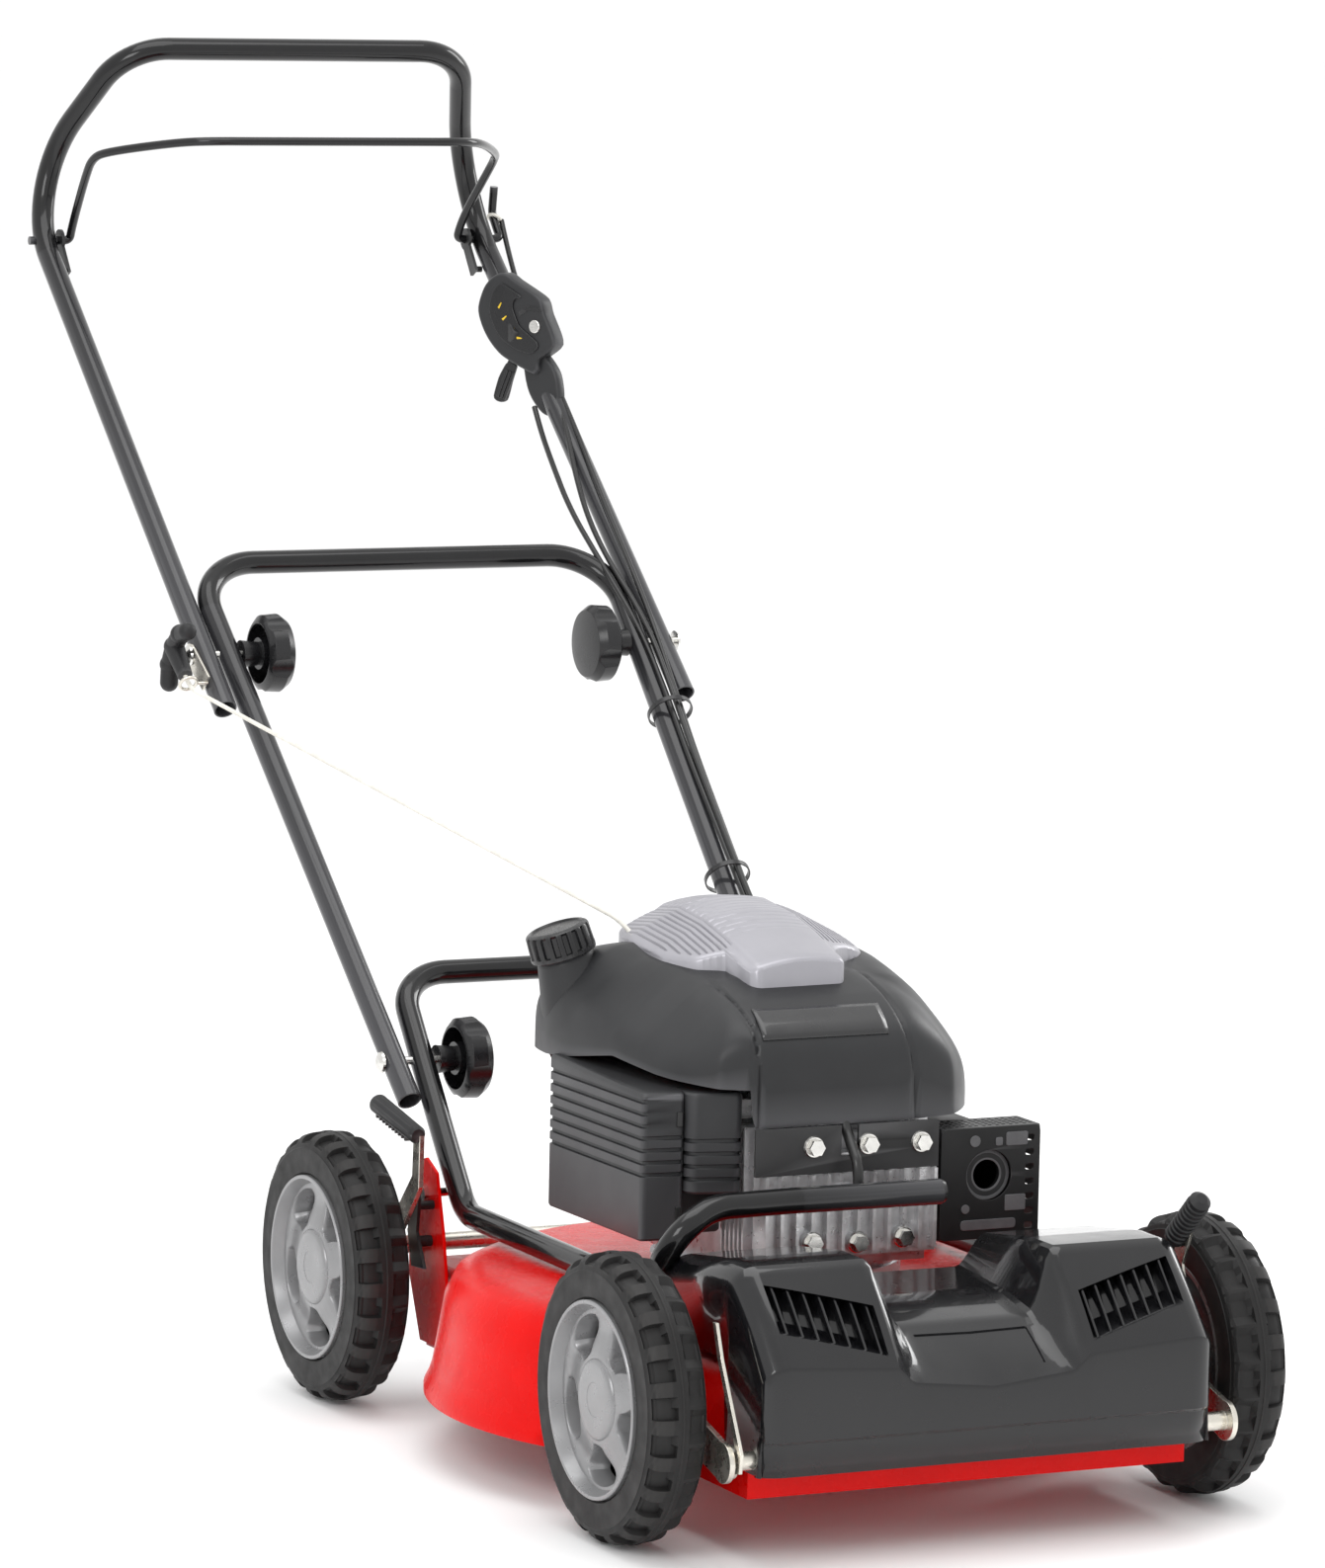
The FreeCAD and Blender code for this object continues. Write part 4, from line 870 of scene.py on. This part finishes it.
# ------------------------ muffler guard
def plate(name, outlines, centre, across, upward, thick, soft, body, material, *stands_for):
    """Flat plate from closed outlines, later ones being holes, with its edges rounded by soft."""
    cu = bpy.data.curves.new(name, "CURVE")
    cu.dimensions = "2D"
    cu.fill_mode = "BOTH"
    cu.extrude = max(0.0, thick / 2 - soft) * MM
    cu.bevel_depth = soft * MM
    cu.bevel_resolution = 2
    for outline in outlines:
        sp = cu.splines.new("POLY")
        sp.points.add(len(outline) - 1)
        for q, (u, v) in zip(sp.points, outline):
            q.co = (u * MM, v * MM, 0, 1)
        sp.use_cyclic_u = True
    o = bpy.data.objects.new(name, cu)
    bpy.context.scene.collection.objects.link(o)
    me = as_mesh(o)
    u, v = Vector(across).normalized(), Vector(upward).normalized()
    w = u.cross(v)
    place = Matrix(((u.x, v.x, w.x, 0), (u.y, v.y, w.y, 0), (u.z, v.z, w.z, 0), (0, 0, 0, 1)))
    me.transform(Matrix.Translation(at(*centre)) @ place)
    me.materials.clear()
    me.shade_smooth()
    me.set_sharp_from_angle(angle=math.radians(35))
    return show(name, me, body, material, *stands_for)


def disc_outline(u, v, r, count=28):
    turns = [2 * math.pi * k / count for k in range(count)]
    return [(u + r * math.cos(t), v + r * math.sin(t)) for t in turns]


def bar_outline(u0, v0, u1, v1, r=1.5):
    """Oblong from corner to corner with rounded corners."""
    return rounded_outline([(u0, v0), (u1, v0), (u1, v1), (u0, v1)], r, 3)


OUTLET = (123.6, 262.0)
GUARD_LEFT, GUARD_RIGHT, GUARD_FOOT, GUARD_TOP = 78, 172, 208, 303
ALONG_X, ALONG_Y, ALONG_Z = (1, 0, 0), (0, 1, 0), (0, 0, 1)
face_holes = [disc_outline(*OUTLET, 22, 48)]
face_holes += [bar_outline(158, 214 + 12.6 * k, 167, 220 + 12.6 * k, 2.8) for k in range(7)]
plate("guard_face", [bar_outline(GUARD_LEFT, GUARD_FOOT, GUARD_RIGHT, GUARD_TOP, 5)] + face_holes,
      (0, 106.6, 0), ALONG_X, ALONG_Z, 1.6, 0.4, "chassis", "satin_black", "muffler_guard")
roof_holes = []
for i in range(14):
    for j in range(5):
        roof_holes.append(disc_outline(82.5 + 6.5 * i, 113.5 + 6.5 * j + 1.6 * (i % 2), 2.1, 12))
plate("guard_roof", [bar_outline(GUARD_LEFT, 106.5, GUARD_RIGHT, 148, 2)] + roof_holes,
      (0, 0, GUARD_TOP), ALONG_X, ALONG_Y, 1.4, 0.3, "chassis", "satin_black")
cheek_slots = [bar_outline(114, 218 + 13 * k, 140, 223 + 13 * k, 2.4) for k in range(6)]
for gx, tag in ((78.4, "in"), (171.6, "out")):
    plate(f"guard_cheek_{tag}", [bar_outline(106.8, GUARD_FOOT, 148, GUARD_TOP, 2)] + cheek_slots,
          (gx, 0, 0), ALONG_Y, ALONG_Z, 1.4, 0.3, "chassis", "satin_black")
RING_Y, BACKING_Y = 111.2, 105.6
details = [("ring", [disc_outline(0, 0, 21.5, 48), disc_outline(0, 0, 13, 36)], RING_Y),
           ("stud_a", [disc_outline(-14, 30, 4.6)], BACKING_Y),
           ("tab_a", [bar_outline(6, 25.5, 12, 32)], BACKING_Y),
           ("pad_a", [bar_outline(16, 25, 36, 36)], BACKING_Y),
           ("stud_b", [disc_outline(-22, -28, 3.6)], BACKING_Y),
           ("pad_b", [bar_outline(16, -31, 35, -18, 1)], BACKING_Y),
           ("bar_b", [bar_outline(-26, -46, 26, -38, 3)], BACKING_Y)]
for tag, outlines, y in details:
    plate("guard_" + tag, outlines, (OUTLET[0], y, OUTLET[1]), ALONG_X, ALONG_Z, 1.2, 0.35, "chassis",
          "gasket_grey")

# ------------------------ blank plate on the housing
housing_tree = BVHTree.FromObject(bpy.data.objects["engine_housing"], bpy.context.evaluated_depsgraph_get())
PLATE_BACK, PLATE_FRONT = 144, 116
PLATE_ROWS, PLATE_COLUMNS = 9, 25
ABOVE_HOUSING = 500
label_verts = []
for i in range(PLATE_ROWS):
    for j in range(PLATE_COLUMNS):
        t = i / (PLATE_ROWS - 1)
        u = j / (PLATE_COLUMNS - 1)
        x = lerp(lerp(-86, 33, u), lerp(-88, 30, u), t)
        above = at(x, lerp(PLATE_BACK, PLATE_FRONT, t), ABOVE_HOUSING)
        hit = housing_tree.ray_cast(above, Vector((0, 0, -1)))[0]
        label_verts.append(hit + Vector((0, -0.4, 0.6)) * MM)
label_mesh = mesh_of("housing_plate", label_verts, grid_faces(PLATE_ROWS, PLATE_COLUMNS))
label = show("housing_plate", label_mesh, "chassis", "label")
label_body = label.modifiers.new("body", "SOLIDIFY")
label_body.thickness = 1.2 * MM
label_body.offset = 0

# ------------------------ throttle control
# FACE is the middle of the control's outer face, whose outline points run ACROSS and UPWARD.
FACE = Vector((204, 1290, 912))
ACROSS, UPWARD = (0.47, -0.883, 0), (0, 0, 1)
OUTWARD = Vector((-0.883, -0.47, 0))
case = [(-15, 43), (-3, 37), (29, 21), (35, 7), (48, -21), (29, -36), (25, -49), (-13, -34),
    (-33, -15), (-43, 8), (-37, 28), (-27, 39)]
sector = [(-15, 35), (8, 24), (1, 21), (-1, 12), (8, -6), (31, -22), (23, -31), (5, -28), (-16, -16),
    (-27, 2), (-28, 17), (-23, 29)]


def on_face(name, outlines, depth, thick, soft, body, material, *stands_for):
    """Plate lying along the throttle's face, its middle at a depth counted outward."""
    plate(name, outlines, FACE + OUTWARD * depth, ACROSS, UPWARD, thick, soft, body, material, *stands_for)


on_face("throttle_case", [closed_curve(case, 72)], -9, 18, 3.0, "upper_handle", "housing_grey",
        "throttle_housing")
on_face("throttle_face", [closed_curve(sector, 64)], 0.6, 2.4, 0.8, "upper_handle", "cap_black")
on_face("throttle_screw", [disc_outline(27, -5, 5.6)], 0.5, 3.0, 1.0, "upper_handle", "bolt_zinc")
slot_line = [(7, 4), (19, 11), (35, 10), (33, 14), (18, 15), (6, 9)]
on_face("throttle_slot", [rounded_outline(slot_line, 1.5)], 0.2, 0.8, 0.2, "upper_handle", "label")
for k, (u, v) in enumerate(((-16, 14), (-10, 2), (0, -9), (9, -17))):
    tilt = math.radians(62 - 20 * k)
    dash = [(u + math.cos(tilt + q) * 3.2 * m, v + math.sin(tilt + q) * 3.2 * m)
            for q, m in ((0, 1), (2.8, 1), (3.48, 1), (6.0, 0.9))]
    on_face(f"throttle_mark_{k}", [dash], 1.9, 0.5, 0.1, "upper_handle", "mark_yellow")
boss = [(12, -30), (30, -34), (46, -52), (50, -78), (38, -90), (20, -74), (12, -52)]
on_face("throttle_boss", [closed_curve(boss, 56)], -12, 12, 3.0, "upper_handle", "housing_grey")
TUBE_RUN, TUBE_RISE = 0.768, 0.64       # direction of the upper handle's tube, seen from the side
clamp_ring = [disc_outline(0, 0, 15.5, 48), disc_outline(0, 0, 10.8, 40)]
for side, tag in ((-1, "in"), (1, "out")):
    plate(f"throttle_clamp_{tag}", clamp_ring, (235.5 + side * 0.1, 1300 + side * 9, 903 + side * 7.5),
          ALONG_X, (0, -TUBE_RISE, TUBE_RUN), 8, 1.2, "upper_handle", "satin_black")
web = [(-2, 16), (34, 12), (38, -12), (-2, -16)]
plate("throttle_web", [rounded_outline(web, 4)], (204, 1300, 905), ALONG_X, (0, TUBE_RUN, TUBE_RISE), 16,
      2.0, "upper_handle", "satin_black")

LEVER_DEPTH, RIB_DEPTH = -28.6, -26.0
thumb = [(-21, -46), (-28, -46), (-37, -60), (-43, -79), (-37, -83), (-29, -81), (-23, -62), (-18, -48)]
on_face("throttle_thumb", [closed_curve(thumb, 48)], LEVER_DEPTH, 4.2, 1.4, "throttle_lever", "cap_black",
        "throttle_lever")
stalk = [(-12, -24), (-18, -24), (-32, -54), (-24, -54)]
on_face("throttle_stalk", [rounded_outline(stalk, 2)], LEVER_DEPTH, 2.0, 0.5, "throttle_lever", "cap_black")
for k in range(3):
    u0 = -28 + 4.2 * k
    v0 = -52 - 1.2 * k
    rib = [(u0, v0), (u0 + 2.0, v0 - 0.8), (u0 - 9.0, v0 - 27), (u0 - 11.0, v0 - 26.2)]
    on_face(f"throttle_rib_{k}", [rib], RIB_DEPTH, 1.8, 0.5, "throttle_lever", "cap_black")


# ------------------------ cables and starter rope
CABLE_RADIUS = 2.7
routes = {
    "throttle_line": [(214, 1258, 828), (212, 1238, 806), (203, 1190, 778), (197, 1134, 738),
        (200, 1070, 694), (212, 1002, 636), (211, 927, 568), (207, 870, 518), (206, 815, 470)],
    "brake_line": [(264, 1456, 1002), (258, 1420, 962), (244, 1330, 895), (240, 1230, 822),
        (232, 1134, 747), (228, 1060, 690), (226, 1002, 640), (219, 927, 572), (214, 870, 520),
        (212, 815, 471)],
    "stop_line": [(243, 1300, 876), (236, 1240, 828), (214, 1150, 752), (206, 1080, 704),
        (219, 1002, 642), (215, 927, 575), (211, 870, 523), (209, 815, 475)],
}
tails = {
    "throttle_line": [(206, 815, 470), (204, 742, 405), (192, 650, 352), (172, 570, 366),
        (148, 520, 374), (130, 466, 364), (112, 424, 354), (96, 392, 350), (80, 372, 350)],
    "brake_line": [(212, 815, 471), (208, 742, 407), (198, 650, 350), (184, 570, 356), (160, 516, 378),
        (126, 458, 372), (104, 420, 362), (88, 388, 356), (74, 370, 354)],
    "stop_line": [(209, 815, 475), (206, 742, 411), (196, 648, 358), (178, 572, 372), (156, 512, 384),
        (122, 450, 376), (98, 414, 366), (82, 384, 360), (66, 368, 356)],
}
stands = {"throttle_line": "throttle_cable", "brake_line": "brake_cable"}
for name, points in routes.items():
    upper = cord(name + "_upper", points, CABLE_RADIUS, "cable_black")
    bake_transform(upper)
    lower = cord(name + "_lower", tails[name], CABLE_RADIUS, "cable_black")
    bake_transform(lower)
    if name in stands:
        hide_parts(stands[name])
        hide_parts(stands[name])

half_bail = [(208, 1440, 984), (208, 1435, 995), (209, 1420, 1014), (213, 1384, 1050), (214, 1364, 1068),
             (206, 1344, 1075), (160, 1274, 1087), (132, 1251, 1089), (96, 1250, 1089)]
left_bail = [(-x, y, z) for x, y, z in half_bail]
bail_points = [(-250, 1440, 984), (-222, 1440, 984)] + left_bail + [(-30, 1250, 1089), (30, 1250, 1089)]
bail_points += half_bail[::-1] + [(226, 1440, 984), (246, 1440, 984), (256, 1441, 985), (256, 1450, 994),
                                  (256, 1462, 1008), (256, 1461, 1018), (256, 1458, 1036)]
bail = cord("bail_wire", bail_points, 4.2, "tube_black")
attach(bail, "control_bail")
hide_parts("control_bail")
eye_ring = [(1.8 * math.sin(t), 6.4 + 1.8 * math.cos(t)) for t in (k * math.pi / 5 for k in range(11))]
eye = lathed("cable_eye", eye_ring, (257.5, 1459, 1004), (0.5, 0.35, 0.8), count=40)
show("cable_eye", eye, "control_bail", "rope_white")

PULL = Vector((0, 494, 412)).normalized()
GUIDE = Vector((-268.5, 962, 600))
MOUTH = Vector((-104, 338, 452))
below_guide = GUIDE - PULL * 6
rope_points = [GUIDE + PULL * 9.5, below_guide, below_guide.lerp(MOUTH, 0.03), (-120, 398, 466), MOUTH,
               (-74, 316, 392)]
rope = cord("rope", rope_points, 2.0, "rope_white")
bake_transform(rope)
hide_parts("starter_rope")

EDGE_WIDTHS = {
    "crankcase": 1.0, "cylinder_head": 0.9, "heat_shield": 0.5, "muffler": 1.2, "rear_brackets": 0.6,
    "head_bolts": 0.5, "height_sectors": 0.5, "front_axle": 0.7, "rear_axle": 0.7, "front_strap": 0.7,
    "bail_clips": 0.4, "rear_lever_grip": 0.6, "front_lever_grip": 0.4, "rear_flap": 0.8,
    "lower_knob_left": 1.6, "lower_knob_right": 1.6, "upper_knob_left": 1.6, "upper_knob_right": 1.6,
    "blade": 0.5, "cable_ties": 0.4,
}
for node, width in EDGE_WIDTHS.items():
    softened(node, width)


# ------------------------ floor, light, camera
def plane(name, size, z):
    me = mesh_of(name, [(-size, -size, z), (size, -size, z), (size, size, z), (-size, size, z)],
                 [(0, 1, 2, 3)], smooth=False)
    o = bpy.data.objects.new(name, me)
    bpy.context.scene.collection.objects.link(o)
    return o


FLOOR_REACH, BELOW_TYRES = 90.0, -0.0005
floor = plane("floor", FLOOR_REACH, BELOW_TYRES)
floor_look = bpy.data.materials.new("floor_pale")
floor_look.use_nodes = True
floor_shader = floor_look.node_tree.nodes["Principled BSDF"]
floor_shader.inputs["Base Color"].default_value = (0.97, 0.97, 0.97, 1)
floor_shader.inputs["Roughness"].default_value = 0.8
floor.data.materials.append(floor_look)

world = bpy.data.worlds.new("studio")
bpy.context.scene.world = world
world.use_nodes = True
backdrop = world.node_tree.nodes["Background"]
backdrop.inputs["Color"].default_value = (1.0, 1.0, 1.0, 1)
backdrop.inputs["Strength"].default_value = 1.04


def lamp(name, place, target, size, power, size_y):
    """A rectangular lamp at a place, facing a target."""
    data = bpy.data.lights.new(name, "AREA")
    data.shape = "RECTANGLE"
    data.size = size
    data.size_y = size_y
    data.energy = power
    o = bpy.data.objects.new(name, data)
    bpy.context.scene.collection.objects.link(o)
    o.location = place
    o.rotation_euler = (Vector(target) - Vector(place)).to_track_quat("-Z", "Y").to_euler()


lamp("overhead", (-0.2, -0.3, 3.2), (0, 0, 0.3), 2.6, 34, 2.0)
lamp("key", (-2.6, -2.2, 2.2), (0, -0.2, 0.35), 1.4, 30, 1.4)
lamp("rim_light", (2.8, 0.6, 1.8), (0, 0, 0.5), 0.8, 22, 1.6)

yaw, pitch, roll = (math.radians(a) for a in (25.65, 7.14, 1.16))
look = Vector((math.sin(yaw) * math.cos(pitch), math.cos(yaw) * math.cos(pitch), -math.sin(pitch)))
flat = look.cross(Vector((0, 0, 1))).normalized()
rise = flat.cross(look)
right = flat * math.cos(roll) + rise * math.sin(roll)
up = rise * math.cos(roll) - flat * math.sin(roll)
CAMERA_AT = (-2.7213, -5.8305, 1.340)
camera = bpy.data.objects.new("camera", bpy.data.cameras.new("camera"))
bpy.context.scene.collection.objects.link(camera)
camera.data.lens = 164.35
camera.data.sensor_width = 36.0
camera.data.clip_end = 60.0
camera.matrix_world = Matrix((
    (right.x, up.x, -look.x, CAMERA_AT[0]),
    (right.y, up.y, -look.y, CAMERA_AT[1]),
    (right.z, up.z, -look.z, CAMERA_AT[2]),
    (0, 0, 0, 1)))
bpy.context.scene.camera = camera
bpy.context.scene.view_settings.view_transform = "Standard"

bpy.context.view_layer.update()
